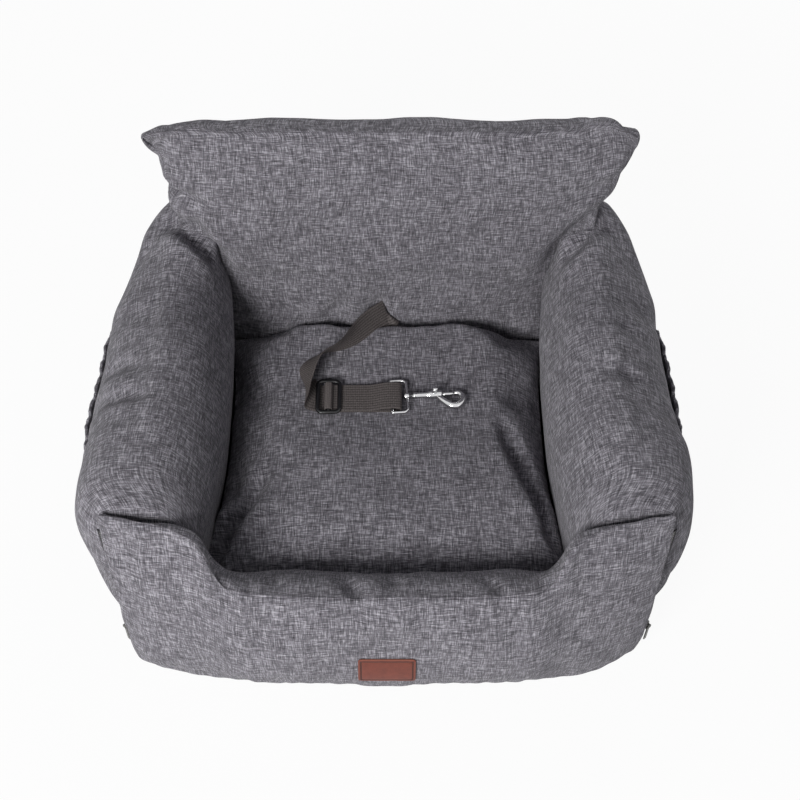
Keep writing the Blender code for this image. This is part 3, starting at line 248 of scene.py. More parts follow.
# The doubled run, round the snap's bar and back to the adjuster.
LOOP_ROUTE = (
    (0.0110, 0.0650, 0.1113), (0.0146, 0.0650, 0.1122), (0.0162, 0.0650, 0.1148),
    (0.0146, 0.0650, 0.1172), (0.0105, 0.0650, 0.1180), (0.0045, 0.0650, 0.1181),
    (-0.0040, 0.0650, 0.1172), (-0.0120, 0.0650, 0.1150), (-0.0190, 0.0650, 0.1134),
    (-0.0270, 0.0650, 0.1131), (-0.0400, 0.0650, 0.1131), (-0.0530, 0.0650, 0.1131),
    (-0.0655, 0.0650, 0.1131),
)
STRAP_STEPS = 200
RIBS = 11
RIB_PLACES = np.linspace(-0.5, 0.5, RIBS * 4 + 1)                  # across the webbing
RIB_GROOVES = (0.5 + 0.5 * np.cos(2 * math.pi * RIBS * (RIB_PLACES + 0.5))) ** 2

strap_line = smooth_route([[*place, *edge] for place, edge in STRAP_ROUTE], STRAP_STEPS)
ahead = unit(np.gradient(strap_line[:, :3], axis=0))
slanting = (strap_line[:, 3:] * ahead).sum(1)[:, None]
square = 0.45 + 0.45 * ease(0.085, 0.110, strap_line[:, 1:2])     # it slants only where it folds over
strap_line[:, 3:] -= square * slanting * ahead


# %% Webbing
def webbing_section(width, thickness):
    """Closed outline of ribbed webbing: across from -1/2 to 1/2 of the width on the upper face and back
    on the lower, its height 1/2 of the thickness less a groove between the ribs and at both edges."""
    edge = 0.55 * np.clip((np.abs(RIB_PLACES) - 0.47) / 0.03, 0, 1) ** 2
    high = thickness / 2 * (1 - 0.45 * RIB_GROOVES - edge)
    upper = np.stack([RIB_PLACES * width, high], 1)
    return np.concatenate([upper, (upper * [1, -1])[::-1]])


def ribbon(points, edges, width, thickness):
    """Rings of webbing along points: the section's across lies along the edge direction, stretched where
    that slants to the path, and its height along the cross product of path and edge."""
    across = unit(edges)
    normal = np.cross(unit(np.gradient(points, axis=0)), across)
    slant = np.linalg.norm(normal, axis=1)[:, None]
    across, normal = across / slant, normal / slant
    section = webbing_section(width, thickness)
    return points[:, None] + across[:, None] * section[None, :, :1] + normal[:, None] * section[None, :, 1:]


def straight_webbing(name, line, edge, width=WEBBING, thickness=WEBBING_THICKNESS):
    """Webbing whose width lies the same way all along its line."""
    return tube_piece(name, ribbon(line, np.tile(edge, (len(line), 1)), width, thickness))


strap = tube_piece("tether_webbing", ribbon(strap_line[:, :3], strap_line[:, 3:], WEBBING, WEBBING_THICKNESS))
loop = straight_webbing("tether_return", smooth_route(LOOP_ROUTE, STRAP_STEPS // 2), (0.0, -1.0, 0.0))


def mark_grooves(thing):
    """Write on each point how deep between two ribs it lies, for the painted shade between the ribs in the
    webbing's colour.
    """
    groove = np.concatenate([RIB_GROOVES, RIB_GROOVES[::-1]])
    layer = thing.data.attributes.new("groove", "FLOAT", "POINT")
    layer.data.foreach_set("value", np.resize(groove, len(thing.data.vertices)))


for thing in (strap, loop):
    mark_grooves(thing)
print("webbing", len(strap.data.polygons), len(loop.data.polygons), "faces")

# %% [markdown]
# The adjuster is a moulded black slide: a rounded frame with a bar across its middle. The webbing's end
# is sewn round that bar. A frame is a small rounded section carried round a rounded rectangle, and the
# bar is the same section carried straight across.

# %% The adjuster
SLIDE_PLACE = np.array([-0.0660, 0.0650, 0.1142])
SLIDE_LENGTH = 0.0295
SLIDE_SPAN = 0.0490
SLIDE_EDGE = 0.0048
SLIDE_BAR = 0.0036
SLIDE_THICKNESS = 0.0030
SLIDE_CORNER = 0.0055
CLEAR = 0.0004


def rounded_rectangle(half_width, half_height, corner):
    """Points round a rectangle with quarter circles at its corners, anticlockwise from the right."""
    steps = 6
    turn = np.radians(np.linspace(0, 90, steps))
    quarter = np.concatenate([turn + k * math.pi / 2 for k in range(4)])
    middle = np.array([(1, 1), (-1, 1), (-1, -1), (1, -1)]).repeat(steps, axis=0)
    return middle * [half_width - corner, half_height - corner] + corner * np.stack(
        [np.cos(quarter), np.sin(quarter)], 1)


def sideways(line, closed):
    """The level direction square to a line, to its right, at each of its points."""
    ahead = np.roll(line, -1, 0) - np.roll(line, 1, 0) if closed else np.gradient(line, axis=0)
    return unit(np.cross(ahead, (0.0, 0.0, 1.0)))


def carried(line, section, closed=False):
    """Rings of a section along a level line: its first number goes sideways and its second up."""
    side, up = sideways(line, closed), np.array([0, 0, 1.0])
    return line[:, None] + side[:, None] * section[None, :, :1] + up * section[None, :, 1:]


def superellipse(half_width, half_height, power, count):
    """A closed section between an ellipse, at power 2, and a rectangle, at a high power."""
    turn = 2 * math.pi * (np.arange(count) + 0.5) / count
    across, high = np.cos(turn), np.sin(turn)
    return np.stack([half_width * np.sign(across) * np.abs(across) ** (2 / power),
                     half_height * np.sign(high) * np.abs(high) ** (2 / power)], 1)


bar_section = superellipse(SLIDE_BAR / 2, SLIDE_THICKNESS / 2, 3, 16)
middle_height = SLIDE_THICKNESS / 2
edge_section = superellipse(SLIDE_EDGE / 2, SLIDE_THICKNESS / 2 + CLEAR / 2, 2.6, 16)
outline = rounded_rectangle((SLIDE_LENGTH - SLIDE_EDGE) / 2, (SLIDE_SPAN - SLIDE_EDGE) / 2, SLIDE_CORNER)
frame_line = np.column_stack([outline, np.full(len(outline), middle_height)]) + SLIDE_PLACE
slide_frame = tube_piece("adjuster_frame", carried(frame_line, edge_section, closed=True), closed=True)
bar_ends = np.linspace(-1, 1, 12)[:, None] * [0, (SLIDE_SPAN - SLIDE_BAR) / 2, 0]
slide_bar = tube_piece("adjuster_bar", carried(SLIDE_PLACE + bar_ends + [0, 0, middle_height], bar_section))

near = SLIDE_BAR / 2 + CLEAR + WEBBING_THICKNESS / 2
top = SLIDE_THICKNESS + CLEAR + WEBBING_THICKNESS / 2
low = WEBBING_THICKNESS / 4
SADDLE_SHARES = ((1.45, 0.0), (1.25, 0.45), (1.0, 0.85), (0.5, 1.0), (-0.5, 1.0), (-1.0, 0.85),
                 (-1.25, 0.45), (-1.45, 0.0))
saddle_line = smooth_route([(near * x, 0, low + z * (top - low)) for x, z in SADDLE_SHARES], 40) + SLIDE_PLACE
saddle = straight_webbing("adjuster_webbing", saddle_line, (0.0, 1.0, 0.0))
print("adjuster", len(slide_frame.data.polygons) + len(slide_bar.data.polygons), "faces")

# %% [markdown]
# The snap is cast zinc with a chrome finish: a D-shaped eye that the webbing goes through, a barrel that
# turns in the eye's boss, a hook, and a spring bolt with a thumb knob that closes it. Round parts are
# profiles turned about an axis, and the hook is a round section whose radius swells along its line.

# %% The snap hook
SNAP_PLACE = np.array([0.0045, 0.0650, 0.1148])
SNAP_YAW = math.radians(4)
EYE_WIRE = 0.0017
EYE_HALF_WIDTH = 0.0226
EYE_SHOULDER = 0.0125
EYE_DEPTH = 0.0180
ROUND = 20


def snap_frame(points):
    """The snap's own frame, turned by its yaw about Z and moved to the middle of the eye's bar."""
    cosine, sine = math.cos(SNAP_YAW), math.sin(SNAP_YAW)
    turn = np.array([[cosine, sine, 0], [-sine, cosine, 0], [0, 0, 1]])
    return np.asarray(points, float) @ turn + SNAP_PLACE


def round_rings(line, radii, closed=False):
    """Circles about a flat line in the XY plane: centre plus radius times sideways and up."""
    side, up = sideways(line, closed), np.array([0, 0, 1.0])
    turn = 2 * math.pi * np.arange(ROUND)[None, :, None] / ROUND
    return line[:, None] + np.asarray(radii, float).reshape(-1, 1, 1) * (
        side[:, None] * np.cos(turn) + up * np.sin(turn))


def turned(profile, start=(0, 0, 0), axis="X", count=ROUND):
    """A profile of (along, radius) pairs turned about an axis through start."""
    profile = np.asarray(profile, float)
    turn = 2 * math.pi * np.arange(count) / count
    along = np.tile(profile[:, :1], (1, count))
    one, two = profile[:, 1:] * np.cos(turn), profile[:, 1:] * np.sin(turn)
    order = {"X": (along, one, two), "Y": (two, along, one), "Z": (one, two, along)}[axis]
    return np.stack(order, -1) + np.asarray(start, float)


def joined(name, parts):
    """One object from several closed ones."""
    first = parts[0]
    with bpy.context.temp_override(active_object=first, selected_editable_objects=parts):
        bpy.ops.object.join()
    first.name = first.data.name = name
    return first


reach = EYE_DEPTH - EYE_SHOULDER
quarter = np.radians(np.linspace(0, 85, 12))
bend = np.stack([EYE_SHOULDER + reach * np.sin(quarter), EYE_HALF_WIDTH - reach * (1 - np.cos(quarter)),
                 0 * quarter], 1)
foot = np.stack([EYE_WIRE * (1 - np.cos(quarter)), EYE_HALF_WIDTH - EYE_WIRE * (1 - np.sin(quarter)),
                 0 * quarter], 1)[1:]
half_eye = np.concatenate([[(0, 0, 0), (0, EYE_HALF_WIDTH / 2, 0)], foot, bend,
                           [(EYE_DEPTH, EYE_HALF_WIDTH / 3, 0)]])
eye_line = np.concatenate([half_eye, (half_eye * [1, -1, 1])[:0:-1]])
eye_radii = np.full(len(eye_line), EYE_WIRE)
eye = joined("snap_eye_chrome", [
    tube_piece("eye_ring", snap_frame(round_rings(eye_line, eye_radii, closed=True)), closed=True),
    tube_piece("eye_boss", snap_frame(turned([(0.0152, 0.0026), (0.0154, 0.0034), (0.0160, 0.0038),
                                              (0.0200, 0.0038), (0.0206, 0.0034), (0.0208, 0.0026)])))])
print("eye", len(eye.data.polygons), "faces")

# %% The hook and its bolt
BARREL = [(0.0214, 0.0020), (0.0246, 0.0020), (0.0250, 0.0034), (0.0262, 0.0041), (0.0272, 0.0041),
          (0.0280, 0.0034), (0.0300, 0.0035), (0.0400, 0.0035), (0.0420, 0.0039), (0.0432, 0.0047),
          (0.0450, 0.0048), (0.0560, 0.0048), (0.0576, 0.0044), (0.0584, 0.0032), (0.0584, 0.0025),
          (0.0495, 0.0025)]
HOOK_ROUTE = [(0.0520, -0.0012, 0), (0.0565, -0.0070, 0), (0.0622, -0.0128, 0), (0.0688, -0.0168, 0),
              (0.0748, -0.0170, 0), (0.0794, -0.0135, 0), (0.0812, -0.0080, 0), (0.0796, -0.0022, 0),
              (0.0756, 0.0008, 0), (0.0716, 0.0008, 0)]
HOOK_SHARES = (0.0, 0.15, 0.45, 0.70, 0.90, 1.0)
HOOK_RADII = (0.0024, 0.0035, 0.0041, 0.0039, 0.0032, 0.0021)
hook_line = smooth_route(HOOK_ROUTE, 48)
hook_radii = through(HOOK_SHARES, HOOK_RADII, np.linspace(0, 1, 48))
hook = joined("snap_hook_chrome", [
    tube_piece("hook_barrel", snap_frame(turned(BARREL, count=24))),
    tube_piece("hook_arm", snap_frame(round_rings(hook_line, hook_radii)))])
BOLT = [(0.0590, 0.0018), (0.0596, 0.0021), (0.0700, 0.0021), (0.0708, 0.0015)]
KNOB = [(0.0035, 0.0020), (0.0085, 0.0018), (0.0092, 0.0030), (0.0110, 0.0033), (0.0120, 0.0026)]
bolt = joined("snap_bolt_chrome", [
    tube_piece("bolt_pin", snap_frame(turned(BOLT))),
    tube_piece("bolt_knob", snap_frame(turned(KNOB, start=(0.0500, 0, 0), axis="Z")))])
print("hook", len(hook.data.polygons), "bolt", len(bolt.data.polygons), "faces")

# %% [markdown]
# The frame has to know which piece moves with which body and which CAD solids a piece stands for.

# %% What the tether's pieces ride on
def dress(thing, body, slot, *replaced):
    """Say which body a piece rides on and which CAD solids it stands for. The slot it is given is not used.
    """
    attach(thing, body)
    if replaced:
        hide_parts(*replaced)
    return thing


dress(strap, "seat", "webbing", "tether_strap")
dress(loop, "seat", "webbing", "tether_loop")
dress(slide_frame, "adjuster", "black_plastic", "strap_slide")
dress(slide_bar, "adjuster", "black_plastic", "strap_slide")
dress(saddle, "adjuster", "webbing", "slide_webbing")
dress(eye, "eye", "chrome", "snap_eye")
dress(hook, "hook", "chrome", "snap_hook")
dress(bolt, "bolt", "chrome", "snap_bolt")
print("tether dressed")

# %% [markdown]
# The cushions are stuffed cloth. Each starts as a closed surface a little smaller than it ends: a grid
# that follows its sewing pattern, so the seams run along rows of points and can be held there. The
# shapes are the CAD model's own: sections for the bolsters, and two faces with a rim for the cushions.

# %% What the cushions share
BASE_TOP = 0.0029           # the covers stand on the underside panel
SEAM_GAP = 0.0020           # between the front bolster and the ends of the side bolsters
PRESS_GAP = 0.0012          # between cushions that press on each other
CORNER_HEIGHT = 0.2190      # top of the front bolster at its outer corners
CAP_SHARES = (0.12, 0.28, 0.48, 0.70, 0.90)     # of the rings that close each end
CAP_ROWS = len(CAP_SHARES)
SIDES = ("left", -1), ("right", 1)


def corner_x(z):
    """Half width of the front bolster's end: it leans outwards with height."""
    return 0.2680 + 0.109 * np.asarray(z, float)


def joint_y(z):
    """The plane where the front bolster meets the side bolsters: it leans backwards with height."""
    return -0.1880 + 0.140 * np.asarray(z, float)


def cap_rings(ring, toward, bulge):
    """Rings that close an end: the ring shrunk to its middle by each share t, pushed out by the bulge
    times 1 - (1 - t)^3."""
    t = np.asarray(CAP_SHARES)[:, None, None]
    middle = ring.mean(axis=0)
    return ring + (middle - ring) * t + np.asarray(toward, float) * bulge * (1 - (1 - t) ** 3)


def with_caps(rings, bulge):
    """Rings with both ends closed, each end pushed along the tube's own line."""
    first, last = rings[1].mean(0) - rings[0].mean(0), rings[-1].mean(0) - rings[-2].mean(0)
    first, last = first / np.linalg.norm(first), last / np.linalg.norm(last)
    return np.concatenate([cap_rings(rings[0], -first, bulge)[::-1], rings,
                           cap_rings(rings[-1], last, bulge)])


def eased_columns(rings, strength, passes):
    """Each point moves towards the middle of its two neighbours round the ring, as far as strength says
    for its column, several times over: an edge becomes a curve."""
    for _ in range(passes):
        rings = rings + strength[None, :, None] * ((np.roll(rings, 1, 1) + np.roll(rings, -1, 1)) / 2 - rings)
    return rings


print("corner at the floor", corner_x(0), joint_y(0))

# %% [markdown]
# The front bolster is low and flat in the middle and climbs to the side bolsters at both ends. Its face
# bulges over the floor, a seam runs along its top edge, and its top is a narrow soft crown. A Bezier
# curve from the floor to the seam gives the bulge, and each control point slides along the width.

# %% The front bolster
FRONT_PLACES = (0.00, 0.30, 0.50, 0.575, 0.65, 0.72, 0.85, 1.00)
FLOOR_Y = 0.2395 * np.array([1.000, 0.994, 0.984, 0.977, 0.970, 0.960, 0.930, 0.870])
SEAM_Y = 0.2280 * np.array([1.000, 0.993, 0.980, 0.950, 0.845, 0.788, 0.748, 0.722])
SEAM_Z = CORNER_HEIGHT * np.array([0.717, 0.717, 0.720, 0.735, 0.890, 0.925, 0.960, 0.978])
REAR_Z = CORNER_HEIGHT * np.array([0.594, 0.594, 0.594, 0.620, 0.845, 0.875, 0.920, 0.962])
CROWN = 0.0095 * np.array([1.00, 1.00, 0.90, 0.65, 0.35, 0.25, 0.20, 0.20])
BULGE = 0.0450 * np.array([1.00, 1.00, 0.97, 0.93, 0.90, 0.88, 0.78, 0.66])
FACE, TOP, WALL, UNDER = 28, 12, 20, 10       # columns of the face, top, inner wall and floor side
FRONT_ROWS = 87
RIGHT_FOOT_IN = 0.0100                        # the right corner stands further back than the left


def front_rear_y(share, z):
    """The inner wall: straight across the seat, then an S curve to the joint plane at the corners."""
    turned = ease(0.615, 0.67, share)
    return -(0.1560 + 0.120 * z) * (1 - turned) + joint_y(z) * turned


def front_rings(shares):
    """Sections at shares of the half width: a quadratic Bezier face, a parabola for the crown, the inner
    wall down to the floor and the floor side back to the start."""
    share = np.abs(shares)[:, None]
    foot_y, seam_y, seam_z, rear_z, crown, bulge = (
        through(FRONT_PLACES, table, share) for table in (-FLOOR_Y, -SEAM_Y, SEAM_Z, REAR_Z, CROWN, BULGE))
    foot_y = foot_y + RIGHT_FOOT_IN * ease(0.78, 1.0, shares)[:, None]
    out_y, out_z = (foot_y + seam_y) / 2 - bulge, seam_z * 0.33
    t = np.arange(FACE) / FACE
    face_y = (1 - t) ** 2 * foot_y + 2 * t * (1 - t) * out_y + t * t * seam_y
    face_z = (1 - t) ** 2 * BASE_TOP + 2 * t * (1 - t) * out_z + t * t * seam_z
    t = np.arange(TOP) / TOP
    rear_y = front_rear_y(share, rear_z)
    top_y = seam_y + (rear_y - seam_y) * t
    top_z = seam_z + (rear_z - seam_z) * t + crown * 4 * t * (1 - t)
    wall_z = rear_z + (BASE_TOP - rear_z) * np.arange(WALL) / WALL
    wall_y = front_rear_y(share, wall_z)
    rear_foot_y = front_rear_y(share, BASE_TOP)
    under_y = rear_foot_y + (foot_y - rear_foot_y) * np.arange(UNDER) / UNDER
    y = np.concatenate([face_y, top_y, wall_y, under_y], 1)
    z = np.concatenate([face_z, top_z, wall_z, np.full_like(under_y, BASE_TOP)], 1)
    x = shares[:, None] * corner_x(z)
    return np.stack([x, y, z], 2)


front = front_rings(np.linspace(-1, 1, FRONT_ROWS))
column = np.arange(FACE + TOP + WALL + UNDER)
soften = 0.9 * np.exp(-((column - FACE - TOP) / 5.0) ** 2) * (column > FACE)
front = eased_columns(front, soften, 14)
front = with_caps(front, 0.004)
front_bolster = tube_piece("front_bolster", front)
print("front bolster", front.shape)

# %% [markdown]
# Each side bolster is a fat tube on its side. Its section is a superellipse, between an ellipse and a
# rectangle, cut flat where it stands on the base. Its front end meets the front bolster in a leaning
# plane, and towards the back it narrows and tucks in behind the back cushion.

# %% The side bolsters
SIDE_PLACES = (0.00, 0.08, 0.20, 0.45, 0.65, 0.80, 0.90, 1.00)
SIDE_OUTER = 0.3240 * np.array([0.965, 0.985, 0.975, 0.950, 0.935, 0.900, 0.860, 0.800])
SIDE_WELL = 0.1780 * np.array([1.110, 1.095, 1.060, 1.005, 1.000, 1.025, 1.055, 1.095])
SIDE_TOP = 0.2380 * np.array([0.935, 0.965, 0.985, 1.000, 1.000, 1.015, 1.050, 1.110])
SIDE_FULL = np.array([0.940, 1.000, 1.000, 1.000, 1.000, 1.000, 1.000, 0.930])
SIDE_REAR_Y = 0.2480
SIDE_SINK = 0.0120
SIDE_POWER = 2.35
SIDE_DRAWN_IN = 0.10         # share of the length over which the front end swells from its seam
SIDE_ROWS, SIDE_COLUMNS = 60, 84
SIDE_MORE = {-1: 0.001 * np.array([4.5, 4.5, 4.0, 1.0, 0.0, 0.0, 0.0, -2.0]),      # further out on the left
             1: 0.001 * np.array([-2.0, -2.0, -1.5, -4.0, -4.0, -1.0, 4.0, 8.0])}   # and on the right
LEAN_LOW = 0.040             # below this height they stand straight
LEAN = 0.19                  # how far the front ends lean out for each metre of height
OVERHANG = 0.0060            # of the inner wall over the seat
OVERHANG_HEIGHT, OVERHANG_REACH = 0.158, 0.034
LEAN_HEIGHT = 0.155          # where the lean changes sides
ZIP_COVER = 0.0045           # how far the front ends stand past the front bolster, over the zip


def side_section(share):
    """Middle, half width, centre height and half height of the section at a share of the length."""
    full, outer, inner, high = (through(SIDE_PLACES, table, share)
                                for table in (SIDE_FULL, SIDE_OUTER, SIDE_WELL, SIDE_TOP))
    low = BASE_TOP - SIDE_SINK
    return (outer + inner) / 2, full * (outer - inner) / 2, (high + low) / 2, full * (high - low) / 2


def side_share(y, z):
    """The share of a side bolster's length at a place."""
    start = joint_y(z) + SEAM_GAP
    return np.clip((y - start) / (SIDE_REAR_Y - start), 0, 1)


def side_wall(y, z):
    """How far out a side bolster's inner wall stands at a place."""
    middle, half, centre, tall = side_section(side_share(y, z))
    up = np.clip(np.abs(np.asarray(z, float) - centre) / tall, 0, 1)
    half = half * (1 - up ** SIDE_POWER) ** (1 / SIDE_POWER)
    return middle - half


def side_rings(side):
    """Superellipse sections along the bolster, no lower than the base, with a lean, an overhang of the
    inner wall and the small differences between left and right."""
    share = np.linspace(0, 1, SIDE_ROWS)[:, None]
    middle, half, centre, tall = side_section(share)
    shape = superellipse(1, 1, SIDE_POWER, SIDE_COLUMNS)
    x = middle + half * shape[:, 0]
    z = np.maximum(centre + tall * shape[:, 1], BASE_TOP)
    outside = np.clip(shape[:, 0], 0, 1)
    lean = LEAN * (np.maximum(z, LEAN_LOW) - LEAN_HEIGHT) * ease(0.35, 0.08, share)
    x = x + outside * (through(SIDE_PLACES, SIDE_MORE[side], share) + lean)
    hang = np.exp(-((z - OVERHANG_HEIGHT) / OVERHANG_REACH) ** 2)
    x = x - OVERHANG * hang * (shape[:, 0] < 0) * ease(0, 0.12, share)
    sewn = np.clip(share / SIDE_DRAWN_IN, 0, 1)
    swell = np.sqrt(1 - (1 - sewn) ** 2)
    seam_x, seam_z = corner_x(z), CORNER_HEIGHT
    x = np.where(x > seam_x, seam_x + (x - seam_x) * swell, x)
    x = np.where((shape[:, 0] > 0.8) & (share < 0.12), np.maximum(x, seam_x + ZIP_COVER), x)
    z = np.where(z > seam_z, seam_z + (z - seam_z) * swell, z)
    start = joint_y(z) + SEAM_GAP
    return np.stack([side * x, start + share * (SIDE_REAR_Y - start), z], 2)


bolsters, bolster_rings = {}, {}
for name, side in SIDES:
    bolster_rings[name] = with_caps(side_rings(side), 0.001)
    bolsters[name] = tube_piece(name + "_bolster", bolster_rings[name], end_rows=CAP_ROWS, end_axes=(0, 2))
print("side bolsters", bolster_rings["left"].shape)

# %% [markdown]
# The seat cushion and the back cushion are pillows: two faces that swell towards each other from a
# narrow rim. A face is one grid, the rim is a few loops between the two borders, and the whole is one
# closed surface.

# %% Pillows
def border(rows, columns):
    """Numbers of the points round a grid's edge, once round."""
    grid = np.arange(rows * columns).reshape(rows, columns)
    return np.concatenate([grid[0], grid[1:, -1], grid[-1, -2::-1], grid[-2:0:-1, 0]])


def pillow_piece(name, near_face, far_face, rims):
    """Two grids of the same size and the loops between their borders, as one closed mesh."""
    rows, columns = near_face.shape[:2]
    edge, count = border(rows, columns), rows * columns
    faces, row, column = band_faces(rows, columns, around=False)
    steps = np.linalg.norm(np.diff(near_face, axis=1), axis=2)
    across = np.concatenate([np.zeros((rows, 1)), np.cumsum(steps, 1)], 1)
    across = across - across.mean(axis=1, keepdims=True)
    along = lengths(near_face[:, columns // 2])
    uv = [np.stack([across[row, column], along[row]], -1).reshape(-1, 2)]
    loops = [2 * count + k * len(edge) + np.arange(len(edge)) for k in range(len(rims))]
    loops = [edge, *loops, edge + count]
    points = np.concatenate([near_face.reshape(-1, 3), far_face.reshape(-1, 3), *rims])
    everything = [faces, (faces + count)[:, ::-1]]
    uv.append(uv[0].reshape(-1, 4, 2)[:, ::-1].reshape(-1, 2))
    round_edge = lengths(points[np.append(edge, edge[0])])
    down = 0.0
    for one, two in zip(loops, loops[1:]):
        ahead_one, ahead_two = np.roll(one, -1), np.roll(two, -1)
        everything.append(np.stack([one, two, ahead_two, ahead_one], 1))
        step = np.linalg.norm(points[two] - points[one], axis=1).mean()
        a, b = round_edge[:-1], round_edge[1:]
        corners = ((a, down), (a, down + step), (b, down + step), (b, down))
        uv.append(np.stack([np.stack([far, 0 * far + low], 1) for far, low in corners], 1).reshape(-1, 2))
        down += step
    return outwards(piece(name, points, np.concatenate(everything).tolist(), np.concatenate(uv)))


def close_to_edges(count):
    """Shares from -1 to 1, closer together towards both ends: t + 0.35 sin(pi t) / pi."""
    t = np.linspace(-1, 1, count)
    return t + 0.35 * np.sin(math.pi * t) / math.pi


print("pillow helpers ready")

# %% The seat cushion
SEAT_LOW = 0.0453
SEAT_EDGE_LOW, SEAT_EDGE_HIGH, SEAT_CROWN = 0.0140, 0.0340, 0.0306
SEAT_FRONT_Y, SEAT_REAR_Y = -0.1640, 0.1840
SEAT_CORNER, SEAT_CORNER_DROP = 0.006, 0.85
SEAT_RIM_SINK = 0.006         # the top starts lower than the rim and swells as much more
SEAT_REAR_MORE = 0.42         # the rear swells more than the front
SEAT_COUNT = 54


def seat_faces():
    """Top and underside: the rim's height plus or minus the crown times sqrt((1 - u^4.5)(1 - v^14)), which
    is nearly flat in the middle and falls steeply to the rim, sooner at the front (v^3.2). The top swells
    more towards the rear. The corners draw in a little, and the rear ones are less full."""
    u, v = np.meshgrid(close_to_edges(SEAT_COUNT), close_to_edges(SEAT_COUNT))
    y = (SEAT_FRONT_Y + SEAT_REAR_Y) / 2 + v * (SEAT_REAR_Y - SEAT_FRONT_Y) / 2 * (1 - SEAT_CORNER * u ** 8)
    half = side_wall(y, SEAT_LOW + SEAT_EDGE_HIGH + SEAT_CROWN) - PRESS_GAP
    x = u * half * (1 - SEAT_CORNER * v ** 8)
    lengthwise = 1 - np.where(v > 0, v ** 14, np.abs(v) ** 3.2)
    swell = (SEAT_CROWN + SEAT_RIM_SINK) * np.sqrt((1 - np.abs(u) ** 4.5) * lengthwise)
    swell = swell * (1 - SEAT_CORNER_DROP * np.exp(-((1 - np.abs(u)) / 0.36) ** 2 - ((1 - v) / 0.26) ** 2))
    top = SEAT_LOW + SEAT_EDGE_HIGH - SEAT_RIM_SINK + swell * (1 + SEAT_REAR_MORE * ease(0.35, 0.88, v))
    upper = np.stack([x, y, top], 2)
    lower = np.stack([x, y, np.maximum(SEAT_LOW + SEAT_EDGE_LOW - swell, SEAT_LOW)], 2)
    return upper, lower


def between(one, two, shares, push):
    """Loops from one border to the other, pushed out from the middle by push times 4 t (1 - t)."""
    out = (one + two) / 2 - np.concatenate([one, two]).mean(axis=0)
    out = out * (np.abs(out) > 0.9 * np.abs(out).max(axis=0))
    out = out / np.maximum(np.linalg.norm(out, axis=1), CLEAR)[:, None]
    return [one + (two - one) * t + out * push * 4 * t * (1 - t) for t in shares]


upper, lower = seat_faces()
edge = border(SEAT_COUNT, SEAT_COUNT)
seat_rims = between(upper.reshape(-1, 3)[edge], lower.reshape(-1, 3)[edge], (0.33, 0.67), 0.0)
seat_cushion = pillow_piece("seat_cushion", upper, lower, seat_rims)
print("seat cushion", len(seat_cushion.data.vertices), "points")

# %% The back cushion
BACK_SEAM_Z = 0.3960
BACK_FOOT_Y, BACK_TOP_Y, BACK_REAR_Y = 0.1865, 0.1980, 0.2475
BACK_CROWN, BACK_SIDE_DRAW, BACK_CORNER = 0.0080, 0.0120, 0.0110
BACK_TOP_HALF = 0.2580
WING_MORE = 0.0120           # the right wing of the back is wider
RIGHT_CORNER_UP = 0.0080     # and its top corner is higher and rounder
EDGE_PUSH_TOP, EDGE_PUSH_SIDE = 0.0030, 0.0040
BACK_ROWS, BACK_COLUMNS = 60, 66
LOOP_PLACE_X, LOOP_LOW, LOOP_HEIGHT = 0.1000, 0.1750, 0.1100       # the belt loops on its rear
BOLSTER_TOP = 0.2380


def back_half(y, z, right):
    """Half width: squeezed between the side bolsters' walls, then flaring to the top corners."""
    flare = BACK_TOP_HALF * through((0.00, 0.62, 0.70, 0.80, 0.90, 0.965, 1.00),
                                    (0.935, 0.940, 0.950, 0.965, 0.995, 1.020, 0.990), z / BACK_SEAM_Z)
    wing = through((0.0, 0.70, 0.80, 0.90, 1.0), (0, 0, 1.0, 1.0, 0.2), z / BACK_SEAM_Z)
    flare = flare + WING_MORE * wing * (right > 0)
    squeezed = np.where(z < BOLSTER_TOP, side_wall(y, np.minimum(z, BOLSTER_TOP)), flare) - PRESS_GAP
    return np.minimum(flare, squeezed) - EDGE_PUSH_SIDE * (z > BOLSTER_TOP)


def back_faces():
    """Front and rear faces: the front leans back with the square of the height and swells by the crown
    times (1 - u^4), and both draw in towards the side edges by u^6."""
    rows = np.clip(close_to_edges(BACK_ROWS) / 2 + 0.5, 0, 1)
    u, rows = np.meshgrid(close_to_edges(BACK_COLUMNS), rows)
    top = (BACK_SEAM_Z - BACK_CORNER * np.clip((np.abs(u) - 0.94) / 0.06, 0, 1) ** 2
           + RIGHT_CORNER_UP * np.exp(-((u - 0.91) / 0.09) ** 2))
    z = BASE_TOP + rows * (top - BASE_TOP)
    share = z / BACK_SEAM_Z
    crown = through((0.00, 0.30, 0.55, 0.80, 1.00), (0.0, 0.0, 1.0, 0.75, 0.0), share)
    crown = BACK_CROWN * crown * (1 - u ** 4)
    corner = np.exp(-((np.abs(u) - 1) / 0.13) ** 2 - ((share - 1) / 0.07) ** 2)
    draw = BACK_SIDE_DRAW * u ** 6 * (1 - corner)
    front = BACK_FOOT_Y + (BACK_TOP_Y - BACK_FOOT_Y) * share ** 2 - crown + draw + 0.003 * corner
    rear = through((0.00, 0.15, 0.32, 0.80, 1.00), (0.97, 0.97, 1.0, 0.985, 0.915), share)
    rear = BACK_REAR_Y * rear - draw - 0.010 * corner
    return [np.stack([u * back_half(y, z, u), y, z], 2) for y in (front, rear)]


